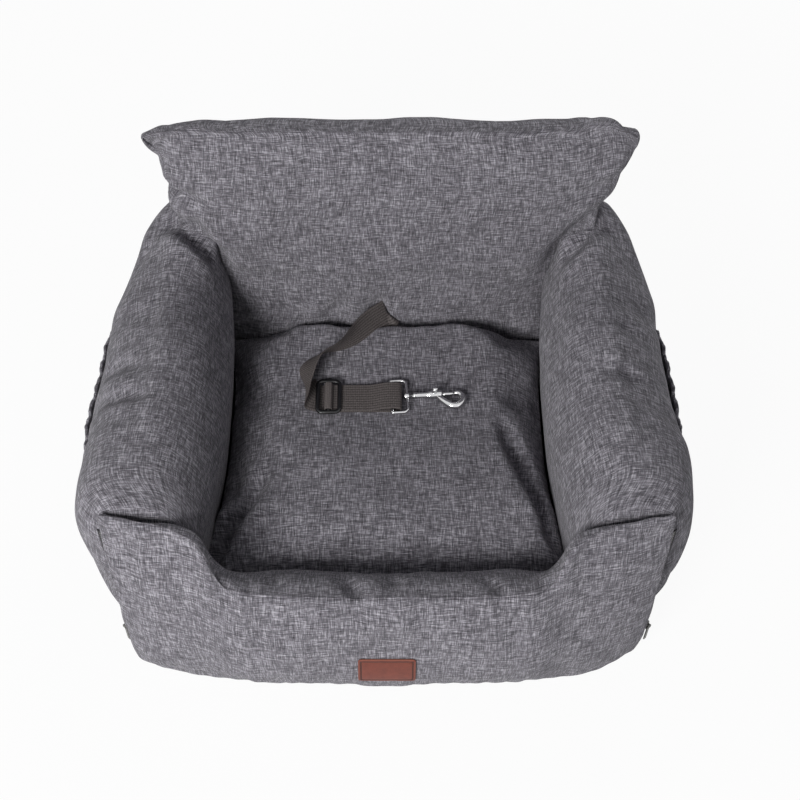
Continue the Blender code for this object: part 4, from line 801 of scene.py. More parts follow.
facing, rear = back_faces()
edge = border(BACK_ROWS, BACK_COLUMNS)
near_edge, far_edge = facing.reshape(-1, 3)[edge], rear.reshape(-1, 3)[edge]
push = np.zeros_like(near_edge)
push[:, 0] = EDGE_PUSH_SIDE * np.sign(near_edge[:, 0]) * (np.arange(len(edge)) >= BACK_COLUMNS - 1)
push[:, 2] = (EDGE_PUSH_TOP * (near_edge[:, 2] > BACK_SEAM_Z - BACK_CORNER)
              * (1 - np.abs(near_edge[:, 0] / BACK_TOP_HALF) ** 6))
back_rims = [near_edge + (far_edge - near_edge) * t + push * 4 * t * (1 - t) for t in (0.16, 0.36, 0.6, 0.82)]
back_cushion = pillow_piece("back_cushion", facing, rear, back_rims)
print("back cushion", len(back_cushion.data.vertices), "points")

# %% [markdown]
# Stuffing is air pressure in Blender's cloth simulation: the cover is a little too large for its shape
# (spare cloth), pressure blows it up, and the seams and the underside stay where they are sewn, so the
# cloth puckers between them as real covers do. Only twenty frames are needed. No point may then move
# further than its room, so that a cushion doesn't swell into its neighbour.

# %% Stuffing
STUFFING_FRAMES = 20
SPARE_CLOTH = 0.03           # share by which the cover is too large


def mesh_points(thing):
    """Where a piece's points are."""
    return triples(thing.data.vertices, "co")


def set_points(thing, points):
    """Move a piece's points to new places."""
    thing.data.vertices.foreach_set("co", np.asarray(points, float).ravel())
    thing.data.update()


def mesh_normals(thing):
    """The outward direction at each of a piece's points."""
    return triples(thing.data.vertex_normals, "vector")


def stuff(thing, sewn, room, pressure=3.0):
    """Simulate the stuffed cover with the sewn points held, then move each point by
    room * tanh(distance / room)."""
    start = mesh_points(thing)
    group = thing.vertex_groups.new(name="sewn")
    group.add(np.flatnonzero(sewn).tolist(), 1.0, "REPLACE")
    cover = thing.modifiers.new("stuffing", "CLOTH")
    cloth = cover.settings
    cloth.quality = 6
    cloth.mass = 0.3
    cloth.tension_stiffness = cloth.compression_stiffness = 15
    cloth.shear_stiffness = 5
    cloth.bending_stiffness = 0.6
    cloth.use_pressure = True
    cloth.uniform_pressure_force = pressure
    cloth.shrink_min = -SPARE_CLOTH
    cloth.vertex_group_mass = "sewn"
    cloth.effector_weights.gravity = 0
    cover.collision_settings.use_collision = False
    cover.point_cache.frame_start, cover.point_cache.frame_end = 1, STUFFING_FRAMES
    for now in range(1, STUFFING_FRAMES + 1):
        scene.frame_set(now)
    stuffed_mesh = thing.evaluated_get(bpy.context.evaluated_depsgraph_get()).data
    way = triples(stuffed_mesh.vertices, "co") - start
    thing.modifiers.remove(cover)
    thing.vertex_groups.remove(group)
    scene.frame_set(1)
    far = np.linalg.norm(way, axis=1, keepdims=True)
    room = np.maximum(room, 1e-6)[:, None]
    set_points(thing, start + way / np.maximum(far, 1e-9) * room * np.tanh(far / room))
    print(thing.name, "moved up to", round(float(far.max()), 4), "m")


# %% Folds
def folded(points, normals, folds):
    """Press folds into a surface. A fold runs along a line of points; at a distance d from it the surface
    sinks by depth (1 - q^2) exp(-q^2 / 2), q = d / width: a valley with a soft ridge on both sides, which
    fades towards the line's ends."""
    for line, width, depth in folds:
        line = np.asarray(line, float)
        start, way = line[:-1], np.diff(line, axis=0)
        size = np.linalg.norm(way, axis=1)
        t = np.clip(((points[:, None] - start) * way).sum(2) / size ** 2, 0, 1)
        away = np.linalg.norm(points[:, None] - start - t[..., None] * way, axis=2)
        nearest = away.argmin(axis=1)
        pick = np.arange(len(points)), nearest
        along = (np.concatenate([[0], np.cumsum(size)[:-1]])[nearest] + t[pick] * size[nearest]) / size.sum()
        q = away[pick] / width
        fade = np.sqrt(np.sin(math.pi * np.clip(along, 0.03, 0.97)))
        points = points - normals * (depth * (1 - q * q) * np.exp(-q * q / 2) * fade)[:, None]
    return points


def ripples(points, size, waves, seed):
    """Soft unevenness: a sum of sine waves of different directions and phases."""
    random = np.random.default_rng(seed)
    ways = unit(random.normal(size=(waves, 3)))
    wave_lengths = random.uniform(0.7, 1.5, waves) * size
    phase = points @ (ways / wave_lengths[:, None]).T * 2 * math.pi + random.uniform(0, 6.3, waves)
    return np.sin(phase).mean(axis=1)


def press_folds(thing, folds, unevenness, size, seed, free):
    """Add the folds and the unevenness to a piece, only as far as free allows at each point."""
    points, normals = mesh_points(thing), mesh_normals(thing)
    moved = folded(points, normals, folds)
    moved = moved + normals * (unevenness * 3 * ripples(points, size, 9, seed))[:, None]
    set_points(thing, points + (moved - points) * np.reshape(free, (-1, 1)))


def smoother(thing):
    """One level of subdivision, the same in the viewport and in the render."""
    step = thing.modifiers.new("smoother", "SUBSURF")
    step.levels = step.render_levels = 1


print("fold helpers ready")

# %% [markdown]
# Every cushion is stuffed, then folded where the photograph shows a fold. Points that rest on the
# base or carry the label stay where they are, and the seat is pressed down under the tether.

# %% The front bolster, stuffed
LABEL_MIDDLE = np.array([0.0, -0.2553, 0.064])
began = time.time()

rows, columns = front.shape[:2]
row, column = np.divmod(np.arange(rows * columns), columns)
under = (column >= FACE + TOP + WALL) | (column == 0)
cap = (row < CAP_ROWS) | (row > rows - 1 - CAP_ROWS)
sewn = under | (column == FACE) | (row == CAP_ROWS) | (row == rows - 1 - CAP_ROWS)
points = mesh_points(front_bolster)[:-2]
by_label = ease(0.045, 0.100, np.linalg.norm((points - LABEL_MIDDLE) * [0.8, 0.5, 1.2], axis=1))
room = np.where(column < FACE, 0.009 * by_label, 0.004) * ~under
room[cap] = 0.001
stuff(front_bolster, np.append(sewn, [True, True]), np.append(room, [0, 0]))
FRONT_FOLDS = (
    (((-0.046, -0.186, 0.145), (-0.036, -0.208, 0.152), (-0.024, -0.232, 0.150)), 0.009, 0.0060),
    (((0.009, -0.186, 0.145), (0.006, -0.215, 0.152)), 0.009, 0.0045),
    (((0.095, -0.188, 0.145), (0.108, -0.210, 0.152), (0.122, -0.230, 0.150)), 0.008, 0.0040),
    (((-0.175, -0.178, 0.165), (-0.168, -0.205, 0.170), (-0.160, -0.232, 0.150)), 0.008, 0.0050),
    (((0.172, -0.178, 0.165), (0.165, -0.205, 0.170), (0.158, -0.232, 0.150)), 0.008, 0.0050),
    (((-0.120, -0.190, 0.140), (-0.110, -0.215, 0.150)), 0.010, 0.0030),
    (((-0.275, -0.190, 0.168), (-0.262, -0.206, 0.160), (-0.245, -0.222, 0.140)), 0.009, 0.0045),
    (((0.262, -0.190, 0.195), (0.240, -0.205, 0.185), (0.215, -0.218, 0.178)), 0.011, 0.0035),
)
above_floor = ease(0.004, 0.045, points[:, 2])
free = np.append(~under * ~cap * by_label * above_floor, [0, 0])
press_folds(front_bolster, FRONT_FOLDS, 0.0012, 0.08, 3, free)
print("front bolster after", round(time.time() - began, 1), "s")

# %% The side bolsters, stuffed
SIDE_FOLDS = {
    "left": (
        (((-0.315, 0.040, 0.180), (-0.291, 0.035, 0.215), (-0.262, 0.022, 0.232)), 0.010, 0.0060),
        (((-0.316, -0.002, 0.170), (-0.286, -0.014, 0.215), (-0.250, -0.022, 0.235)), 0.010, 0.0070),
        (((-0.322, -0.040, 0.160), (-0.296, -0.048, 0.205), (-0.262, -0.052, 0.228)), 0.009, 0.0050),
        (((-0.310, -0.118, 0.180), (-0.285, -0.122, 0.205), (-0.250, -0.125, 0.222)), 0.012, 0.0045),
        (((-0.262, 0.212, 0.240), (-0.232, 0.205, 0.250), (-0.212, 0.188, 0.235), (-0.196, 0.176, 0.200)),
         0.011, 0.0130),
        (((-0.300, 0.110, 0.160), (-0.285, 0.100, 0.205), (-0.255, 0.095, 0.232)), 0.014, 0.0040),
    ),
    "right": (
        (((0.222, 0.080, 0.232), (0.259, 0.071, 0.222), (0.297, 0.057, 0.180)), 0.010, 0.0055),
        (((0.225, 0.016, 0.236), (0.253, 0.007, 0.228), (0.292, 0.001, 0.190)), 0.010, 0.0065),
        (((0.242, -0.052, 0.230), (0.273, -0.062, 0.215), (0.306, -0.074, 0.170)), 0.010, 0.0055),
        (((0.218, -0.117, 0.222), (0.258, -0.130, 0.212), (0.292, -0.138, 0.185)), 0.012, 0.0045),
        (((0.262, 0.212, 0.240), (0.232, 0.205, 0.250), (0.212, 0.188, 0.235), (0.196, 0.176, 0.200)),
         0.011, 0.0110),
        (((0.300, 0.120, 0.160), (0.285, 0.112, 0.205), (0.255, 0.105, 0.232)), 0.014, 0.0040),
    ),
}
for name, side in SIDES:
    points = mesh_points(bolsters[name])
    rows, columns = bolster_rings[name].shape[:2]
    row = np.append(np.arange(rows * columns) // columns, [0, rows - 1])
    resting = points[:, 2] < BASE_TOP + CLEAR
    ends = (row <= CAP_ROWS) | (row >= rows - 1)
    inner = ease(0.030, 0.0, np.abs(points[:, 0]) - side_wall(points[:, 1], points[:, 2]))
    room = (0.010 - 0.0085 * inner) * ~resting
    room[row < CAP_ROWS] = 0.001
    stuff(bolsters[name], resting | ends, room)
    free = 1 - 0.9 * inner * ease(0.225, 0.195, points[:, 2])
    free = free * ~resting * (row > CAP_ROWS)
    press_folds(bolsters[name], SIDE_FOLDS[name], 0.0020, 0.10, 5 + side, free)
    smoother(bolsters[name])
print("side bolsters after", round(time.time() - began, 1), "s")

# %% The seat cushion, stuffed
SEAT_FOLDS = (
    (((-0.196, -0.155, 0.080), (-0.172, -0.098, 0.104), (-0.140, -0.050, 0.108)), 0.012, 0.0210),
    (((-0.180, 0.036, 0.090), (-0.172, -0.010, 0.100), (-0.172, -0.060, 0.100)), 0.013, 0.0120),
    (((0.130, 0.030, 0.108), (0.155, -0.033, 0.106), (0.186, -0.120, 0.090)), 0.012, 0.0130),
    (((-0.130, 0.178, 0.095), (-0.105, 0.150, 0.108)), 0.012, 0.0050),
    (((0.105, 0.178, 0.095), (0.090, 0.145, 0.108)), 0.012, 0.0040),
)
points = mesh_points(seat_cushion)
resting = np.arange(len(points)) >= SEAT_COUNT * SEAT_COUNT
room = np.where(resting, 0.0, 0.006)
stuff(seat_cushion, resting, room, pressure=1.5)
press_folds(seat_cushion, SEAT_FOLDS, 0.0022, 0.11, 12, ~resting)


def press_under(thing, line, half_width, clearance):
    """Keep a top surface below a strap: no higher than the line's height less the clearance within its
    half width, and rising away from it by 0.12 of the distance."""
    points = mesh_points(thing)
    start, way = line[:-1, :2], np.diff(line[:, :2], axis=0)
    t = np.clip(((points[:, None, :2] - start) * way).sum(2) / np.maximum((way ** 2).sum(1), 1e-12), 0, 1)
    away = np.linalg.norm(points[:, None, :2] - start - t[..., None] * way, axis=2)
    height = line[:-1, 2] + t * np.diff(line[:, 2]) - clearance + 0.12 * np.maximum(away - half_width, 0)
    limit = height.min(axis=1)
    points[:, 2] = np.where(points[:, 2] > SEAT_LOW + 0.02, np.minimum(points[:, 2], limit), points[:, 2])
    set_points(thing, points)


on_seat = strap_line[strap_line[:, 1] < 0.176, :3]
press_under(seat_cushion, on_seat[::4], WEBBING / 2 + 0.004, WEBBING_THICKNESS / 2 + 0.0010)
snap_line = snap_frame([(0.0, 0, -EYE_WIRE), (0.045, 0, -0.0049), (0.078, -0.008, -0.0042)])
press_under(seat_cushion, snap_line, 0.026, 0.0008)
smoother(seat_cushion)
print("seat cushion after", round(time.time() - began, 1), "s")

# %% The back cushion, stuffed
BACK_FOLDS = (
    (((-0.252, 0.212, 0.304), (-0.232, 0.202, 0.303), (-0.208, 0.188, 0.302)), 0.011, 0.0150),
    (((0.252, 0.212, 0.322), (0.232, 0.202, 0.316), (0.212, 0.188, 0.312)), 0.012, 0.0080),
    (((-0.008, 0.186, 0.098), (-0.010, 0.186, 0.135), (-0.012, 0.188, 0.160)), 0.014, 0.0060),
    (((-0.062, 0.186, 0.098), (-0.060, 0.186, 0.130), (-0.050, 0.188, 0.150)), 0.014, 0.0060),
    (((-0.225, 0.200, 0.270), (-0.200, 0.190, 0.230), (-0.185, 0.186, 0.180)), 0.016, 0.0060),
    (((0.225, 0.200, 0.270), (0.200, 0.190, 0.230), (0.185, 0.186, 0.180)), 0.016, 0.0060),
    (((-0.110, 0.206, 0.403), (-0.105, 0.220, 0.406)), 0.012, 0.0035),
    (((0.035, 0.206, 0.403), (0.035, 0.225, 0.406)), 0.012, 0.0050),
    (((0.150, 0.206, 0.403), (0.145, 0.225, 0.406)), 0.012, 0.0035),
)
points = mesh_points(back_cushion)
count = BACK_ROWS * BACK_COLUMNS
low = points[:, 2] < 0.03
seam = np.zeros(len(points), bool)
seam[(BACK_ROWS - 1) * BACK_COLUMNS:count] = True
room = np.where(points[:, 2] < 0.2, 0.003, 0.007)
behind = points[:, 1] > 0.236
at_loops = (ease(0.055, 0.030, np.abs(np.abs(points[:, 0]) - LOOP_PLACE_X))
            * ease(0.085, 0.060, np.abs(points[:, 2] - LOOP_LOW - LOOP_HEIGHT / 2)))
room = room * (1 - 0.97 * behind * np.maximum(at_loops, ease(0.085, 0.055, points[:, 2])))
stuff(back_cushion, low | seam, room, pressure=2.0)
press_folds(back_cushion, BACK_FOLDS, 0.0022, 0.13, 21, ~low & (points[:, 1] < 0.235))
print("stuffing took", round(time.time() - began, 1), "s")

# %% [markdown]
# A seam is where two panels of cloth are sewn together and turned: the cloth dives in and comes back, so
# it shows as a thin dark line. The grids are too coarse for that, so more rows of points are read off
# them close to the seam, and the seam's own row is pulled in.

# %% Seams
SEAM_SINK, SEAM_LIP = 0.0022, 0.0004
SEAM_BESIDE = (-0.45, -0.16, 0.16, 0.45)      # places of the new rows, in cells from the seam


def finer(grid, places):
    """A grid read at fractional row numbers, on Catmull-Rom curves through its rows."""
    low = np.clip(np.floor(places).astype(int), 0, len(grid) - 2)
    t = np.reshape(places - low, (-1,) + (1,) * (grid.ndim - 1))
    a, b, c, d = (grid[np.clip(low + step, 0, len(grid) - 1)] for step in (-1, 0, 1, 2))
    return 0.5 * (2 * b + (c - a) * t + (2 * a - 5 * b + 4 * c - d) * t ** 2
                  + (3 * b - a - 3 * c + d) * t ** 3)


def finer_columns(grid, places):
    """The same for fractional column numbers."""
    return np.moveaxis(finer(np.moveaxis(grid, 1, 0), places), 0, 1)


def beside(count, seams):
    """The row numbers of a grid, with more of them beside each seam."""
    extra = [seam + step for seam in seams for step in SEAM_BESIDE if 0 < seam + step < count - 1]
    return np.unique(np.concatenate([np.arange(count), extra]))


def take_mesh(thing, made):
    """Give a piece the mesh of another, and remove that one."""
    thing.data = made.data
    bpy.data.objects.remove(made)


def sink(thing, numbers, depth):
    """Move the numbered points in along their normals."""
    points = mesh_points(thing)
    points[numbers] -= mesh_normals(thing)[numbers] * np.reshape(depth, (-1, 1))
    set_points(thing, points)


rings = mesh_points(front_bolster)[:-2].reshape(front.shape)
places = beside(front.shape[1], [FACE])
rings = finer_columns(rings, places)
take_mesh(front_bolster, tube_piece("front_bolster_sewn", rings, end_rows=CAP_ROWS, end_axes=(1, 2)))
seam = int(np.flatnonzero(places == FACE)[0])
row = np.arange(len(rings))
fade = ease(CAP_ROWS, CAP_ROWS + 3, np.minimum(row, len(rings) - 1 - row))
sink(front_bolster, row * len(places) + seam, SEAM_SINK * fade)
sink(front_bolster, row * len(places) + seam - 1, -SEAM_LIP * fade)
smoother(front_bolster)

count = BACK_ROWS * BACK_COLUMNS
points = mesh_points(back_cushion)
last_row, last_column = BACK_ROWS - 1, BACK_COLUMNS - 1
rows_at, columns_at = beside(BACK_ROWS, (0, last_row)), beside(BACK_COLUMNS, (0, last_column))
both = [finer_columns(finer(part.reshape(BACK_ROWS, BACK_COLUMNS, 3), rows_at), columns_at)
        for part in (points[:count], points[count:2 * count])]
round_places = np.concatenate([columns_at, last_column + rows_at[1:],
                               last_column + last_row + (last_column - columns_at)[-2::-1],
                               2 * last_column + last_row + (last_row - rows_at)[-2:0:-1]])
loops = [finer(np.concatenate([loop_, loop_[:2]]), round_places)
         for loop_ in points[2 * count:].reshape(len(back_rims), -1, 3)]
edge = border(len(rows_at), len(columns_at))
near_edge, far_edge = both[0].reshape(-1, 3)[edge], both[1].reshape(-1, 3)[edge]
rims = ([near_edge + (loops[0] - near_edge) * t for t in (0.2, 0.5)] + loops
        + [far_edge + (loops[-1] - far_edge) * t for t in (0.5, 0.2)])
take_mesh(back_cushion, pillow_piece("back_cushion_sewn", *both, rims))
grid_count = len(rows_at) * len(columns_at)
sink(back_cushion, np.concatenate([edge, edge + grid_count]), np.full(2 * len(edge), SEAM_SINK))
smoother(back_cushion)
print("seams sewn on", len(front_bolster.data.vertices), "and", len(back_cushion.data.vertices), "points")

# %% [markdown]
# Small things that are repeated, such as stitches and the teeth of a zip, are one shape of a few dozen
# faces, placed many times: every copy has a place and three directions of its own. A stitch is a grain of
# thread, and a row of them follows a line at an even pitch.

# %% Repeated shapes
def copies(name, rings, places, frames):
    """A closed shape repeated in one mesh: each point is a place plus the shape's own x, y and z times the
    three directions of that place's frame."""
    rows, columns = rings.shape[:2]
    shape = np.concatenate([rings.reshape(-1, 3), rings[0].mean(0)[None], rings[-1].mean(0)[None]])
    points = np.asarray(places)[:, None] + np.einsum("pk,nkd->npd", shape, np.asarray(frames))
    start = np.arange(len(points))[:, None, None] * len(shape)
    quads = (band_faces(rows, columns)[0] + start).reshape(-1, 4).tolist()
    fans = (end_fans(rows, columns) + start).reshape(-1, 3).tolist()
    return outwards(piece(name, points, quads + fans))


def spaced(line, pitch):
    """Middles of even steps along a line of points, and the direction there."""
    line = np.asarray(line, float)
    far = lengths(line)
    at = (np.arange(int(far[-1] / pitch)) + 0.5) * pitch
    place = np.stack([np.interp(at, far, line[:, k]) for k in range(3)], 1)
    ahead = np.stack([np.interp(at + pitch * 0.2, far, line[:, k]) for k in range(3)], 1) - place
    return place, unit(ahead)


def frames_along(ahead, out):
    """Frames of a direction, the one across it and the one outwards."""
    out = np.broadcast_to(np.asarray(out, float), ahead.shape)
    out = unit(out - ahead * (out * ahead).sum(1)[:, None])
    return np.stack([ahead, np.cross(out, ahead), out], 1)


STITCH_PITCH, STITCH_LENGTH, STITCH_RADIUS = 0.0034, 0.0026, 0.00032
GRAIN = turned([(-0.5, 0.2), (-0.42, 0.7), (-0.2, 1.0), (0.2, 1.0), (0.42, 0.7), (0.5, 0.2)], count=6)


def stitches(name, lines, out, pitch=STITCH_PITCH, length=STITCH_LENGTH):
    """Rows of stitches along lines, each a grain of thread; out is the side that they lie on."""
    spots = [spaced(line, pitch) for line in lines]
    place = np.concatenate([spot[0] for spot in spots])
    ahead = np.concatenate([spot[1] for spot in spots])
    return copies(name, GRAIN * [length, STITCH_RADIUS, STITCH_RADIUS], place, frames_along(ahead, out))


print("repeated shapes ready")

# %% [markdown]
# Each side has a pocket: a panel sewn to the bolster on three edges, with elastic in its upper hem. The
# elastic is shorter than the cloth, so the hem gathers in small folds and the pocket bags out below it.
# The panel is a grid over the wall, whose distance from it grows towards the lip, with gathers added.

# %% Side pockets
POCKET_MIDDLE_Y, POCKET_LENGTH = 0.0500, 0.1700
POCKET_LOW, POCKET_LIP, POCKET_STANDOFF = 0.0550, 0.1500, 0.0038
POCKET_CLOTH = 0.0014
HEM_HALF_HEIGHT, HEM_HALF_THICKNESS = 0.0052, 0.0019
GATHERS, HEM_WAVE = 15, 0.0008     # half waves along the hem, and how far they lift it


def wall_at(thing, side, y, z):
    """How far out a stuffed bolster stands at places: the mean of its outer points, each weighted by
    1 / (distance^2 + (4 mm)^2)^2."""
    points, normals = mesh_points(thing), mesh_normals(thing)
    outer = points[(normals[:, 0] * side > 0.2) & (points[:, 2] > 0.03) & (points[:, 2] < 0.19)]
    apart = (y[..., None] - outer[:, 1]) ** 2 + (z[..., None] - outer[:, 2]) ** 2
    weight = 1 / (apart + 0.004 ** 2) ** 2
    return (weight * np.abs(outer[:, 0])).sum(-1) / weight.sum(-1)


def pocket_out(wall, u, v):
    """Distance from the middle of the seat: wall, stand-off (1 - u^4) v^0.8 and the gathers, which grow
    with v^1.6 and fade at both ends."""
    wave = np.sin(GATHERS * math.pi * u + 1.6 * np.sin(4 * math.pi * u + 1.0))
    slow = np.sin(6 * math.pi * u + 0.7)
    gathers = (0.0003 * wave + 0.0010 * slow) * v ** 1.6 * (1 - u ** 8)
    return wall + 0.0020 + POCKET_STANDOFF * (1 - u ** 4) * v ** 0.8 + gathers


def pocket(name, side):
    """The panel, its gathered hem and its stitches."""
    u, v = np.meshgrid(np.linspace(-1, 1, 110), np.linspace(0, 1, 40))
    y = POCKET_MIDDLE_Y + u * POCKET_LENGTH / 2
    z = POCKET_LOW + v * (POCKET_LIP - POCKET_LOW) + HEM_WAVE * v ** 4 * np.sin(GATHERS * math.pi * u + 0.9)
    out = pocket_out(wall_at(bolsters[name], side, y, z), u, v)
    near, far = (np.stack([side * (out + more), y, z], 2) for more in (0, -POCKET_CLOTH))
    edge = border(*u.shape)
    rim = (near.reshape(-1, 3)[edge] + far.reshape(-1, 3)[edge]) / 2
    rim_u, rim_v = u.ravel()[edge], v.ravel()[edge]
    rim = rim + 0.0005 * np.stack([0 * edge, np.sign(np.round(rim_u, 6)) * (np.abs(rim_u) > 0.999),
                                   (rim_v > 0.999) * 1.0 - (rim_v < 0.001)], 1)
    panel = pillow_piece(name + "_pocket_panel", near, far, [rim])
    u = np.linspace(-0.985, 0.985, 240)
    y = POCKET_MIDDLE_Y + u * POCKET_LENGTH / 2
    middle_z = POCKET_LIP - HEM_HALF_HEIGHT + 0.0010 + HEM_WAVE * np.sin(GATHERS * math.pi * u + 0.9)
    out = pocket_out(wall_at(bolsters[name], side, y, middle_z), u, 1 + 0 * u) - POCKET_CLOTH / 2
    tuck = 1 + 0.03 * np.sin(47 * math.pi * u + 2.0 * np.sin(9 * math.pi * u))
    section = superellipse(HEM_HALF_THICKNESS, HEM_HALF_HEIGHT, 3.0, 20)
    rings = np.stack([side * (out[:, None] + section[:, 0] * tuck[:, None]), np.tile(y[:, None], (1, 20)),
                      middle_z[:, None] + section[:, 1]], 2)
    hem = tube_piece(name + "_pocket_hem", rings)
    rows = []
    for du, dv in ((0.955, None), (-0.955, None), (None, 0.035), (None, 0.075)):
        t = np.linspace(0.03, 0.86, 60) if dv is None else np.linspace(-0.955, 0.955, 80)
        uu, vv = (du + 0 * t, t) if dv is None else (t, dv + 0 * t)
        yy = POCKET_MIDDLE_Y + uu * POCKET_LENGTH / 2
        zz = POCKET_LOW + vv * (POCKET_LIP - POCKET_LOW)
        xx = pocket_out(wall_at(bolsters[name], side, yy, zz), uu, vv) + STITCH_RADIUS * 0.6
        rows.append(np.stack([side * xx, yy, zz], 1))
    sewing = stitches(name + "_pocket_stitches", rows, (side, 0, 0))
    return panel, hem, sewing


pockets = {name: pocket(name, side) for name, side in SIDES}
print("pockets", [len(thing.data.polygons) for thing in pockets["left"]], "faces each")

# %% [markdown]
# The covers come off through zips: one down each front corner and one along the foot of the back. A zip
# is two woven tapes and a row of metal teeth that mesh from both sides. The tape is a thin profile
# carried along the line, and the teeth are copies of one rounded block, shifted left and right in turn.

# %% Zips
TAPE, TAPE_WIDTH, ZIP_CORNER = 0.0010, 0.0100, 0.0070
CORNER_ZIP_LOW, CORNER_ZIP_HIGH = 0.0280, 0.1850
BACK_ZIP_Z, BACK_ZIP_LENGTH = 0.0330, 0.2600
TOOTH_PITCH, TOOTH_SHIFT = 0.0016, 0.0009
TOOTH_LENGTH, TOOTH_HALF_WIDTH, TOOTH_HALF_HEIGHT = 0.0012, 0.0016, 0.0008
block = superellipse(TOOTH_HALF_WIDTH, TOOTH_HALF_HEIGHT, 3.5, 8)
TOOTH = np.stack([np.column_stack([np.full(8, along * TOOTH_LENGTH), block * share])
                  for along, share in ((-0.5, 0.75), (-0.35, 1.0), (0.35, 1.0), (0.5, 0.75))])


def teeth(name, start, end, out):
    """Teeth along a straight line, every second one shifted across it the other way."""
    place, ahead = spaced([start, end], TOOTH_PITCH)
    frames = frames_along(ahead, out)
    shift = TOOTH_SHIFT * np.where(np.arange(len(place)) % 2, 1, -1)
    return copies(name, TOOTH, place + frames[:, 1] * shift[:, None], frames)


def strip(name, profile, start, end, across, out):
    """A flat profile of (across, out) pairs carried straight from start to end."""
    t = np.linspace(0, 1, 60)[:, None, None]
    line = np.asarray(start, float) + (np.asarray(end, float) - start) * t
    profile = np.asarray(profile, float)
    return tube_piece(name, line + profile[:, :1] * np.asarray(across) + profile[:, 1:] * np.asarray(out))


def corner_zip(name, side):
    """The tape bends round the inside corner between the bolsters, and the teeth lie on the bend."""
    low, high = (np.array([side * (corner_x(z) + CLEAR), joint_y(z) + SEAM_GAP - CLEAR, z])
                 for z in (CORNER_ZIP_LOW, CORNER_ZIP_HIGH))
    bend = smooth_route([(0.0005, -0.0100, 0), (0.0006, -0.0072, 0), (0.0020, -0.0044, 0),
                         (0.0044, -0.0020, 0), (0.0058, -0.0009, 0), (0.0072, -0.0005, 0)], 24)[:, :2]
    ahead = np.gradient(bend, axis=0)
    square = np.column_stack([ahead[:, 1], -ahead[:, 0]]) / np.linalg.norm(ahead, axis=1)[:, None] * TAPE / 2
    outline = np.concatenate([bend + square, (bend - square)[::-1]])
    tape = strip(name + "_corner_zip_tape", outline, low, high, (side, 0, 0), (0, 1, 0))
    middle = (TAPE + ZIP_CORNER) / 2 - TOOTH_HALF_HEIGHT * 0.7
    shift = np.array([side * middle, -middle, 0])
    row = teeth(name + "_corner_zip_teeth", low + shift, high + shift, (side, -1, 0))
    return tape, row


def back_zip():
    """Two tapes with a corded edge beside the row of teeth, low on the rear of the back cushion."""
    wall = BACK_REAR_Y * 0.97 + CLEAR
    start, end = (np.array([x, wall, BACK_ZIP_Z]) for x in (-BACK_ZIP_LENGTH / 2, BACK_ZIP_LENGTH / 2))
    profile = np.array([(-TAPE_WIDTH, 0), (-TAPE_WIDTH, 0.0008), (-0.0095, TAPE), (-0.0034, TAPE),
                        (-0.0026, 0.0016), (-0.0018, 0.0018), (-0.0011, 0.0014), (-0.0010, 0)])
    tapes = [strip("back_zip_tape_" + word, profile * [turn, 1], start, end, (0, 0, 1), (0, 1, 0))
             for word, turn in (("lower", 1), ("upper", -1))]
    lift = np.array([0, TAPE + TOOTH_HALF_HEIGHT, 0])
    lines = [[place + (0, TAPE + STITCH_RADIUS / 2, z) for place in (start, end)] for z in (-0.0075, 0.0075)]
    return [*tapes, teeth("back_zip_teeth", start + lift, end + lift, (0, 1, 0)),
            stitches("back_zip_stitches", lines, (0, 1, 0))]


corner_zips = {name: corner_zip(name, side) for name, side in SIDES}
back_zip_pieces = back_zip()
print("zip teeth", [len(thing.data.vertices) // 34 for thing in (corner_zips["left"][1], back_zip_pieces[2])])

# %% [markdown]
# Two loops of webbing are sewn to the rear of the back cushion for the car's belt. Each lies flat at both
# ends, where it is sewn down with a box and a cross, and stands off between them.

# %% Belt loops
LOOP_WEBBING, LOOP_THICKNESS, LOOP_STANDOFF = 0.0380, 0.0015, 0.0080
LOOP_SHARES = ((0.00, 0.0), (0.07, 0.0), (0.14, 0.0), (0.21, 0.50), (0.29, 0.95), (0.40, 1.0), (0.50, 1.0),
               (0.60, 1.0), (0.71, 0.95), (0.79, 0.50), (0.86, 0.0), (0.93, 0.0), (1.00, 0.0))
SEWN_HALF_WIDTH, SEWN_INSET, SEWN_HEIGHT = 0.0150, 0.0025, 0.0120


def belt_loop(name, side):
    """The webbing and the stitches of its two sewn ends."""
    wall = BACK_REAR_Y + CLEAR
    route = smooth_route([(side * LOOP_PLACE_X, wall + off * LOOP_STANDOFF + LOOP_THICKNESS / 2,
                           LOOP_LOW + up * LOOP_HEIGHT) for up, off in LOOP_SHARES], 90)
    webbing = straight_webbing(name + "_belt_loop_webbing", route, (1.0, 0.0, 0.0), LOOP_WEBBING,
                               LOOP_THICKNESS)
    mark_grooves(webbing)
    lines = []
    for foot in (LOOP_LOW + SEWN_INSET, LOOP_LOW + LOOP_HEIGHT - SEWN_INSET - SEWN_HEIGHT):
        corners = [(side * LOOP_PLACE_X + x * SEWN_HALF_WIDTH, wall + LOOP_THICKNESS + STITCH_RADIUS * 0.4,
                    foot + z * SEWN_HEIGHT) for x, z in ((-1, 0), (1, 0), (1, 1), (-1, 1), (-1, 0))]
        lines += [[one, two] for one, two in zip(corners, corners[1:])]
        lines += [[corners[0], corners[2]], [corners[1], corners[3]]]
    return webbing, stitches(name + "_belt_loop_stitches", lines, (0, 1, 0), 0.0027, 0.0021)


belt_loops = {name: belt_loop(name, side) for name, side in SIDES}
print("belt loops", len(belt_loops["left"][0].data.polygons), "faces each")

# %% [markdown]
# The leather label is a small plate with rounded corners, a line scored along its border and a row of
# stitches in that line. Its profile runs from the edge inwards, and each point of the profile is a ring:
# the outline made smaller by the inset. The plate bends with the bolster's face behind it.

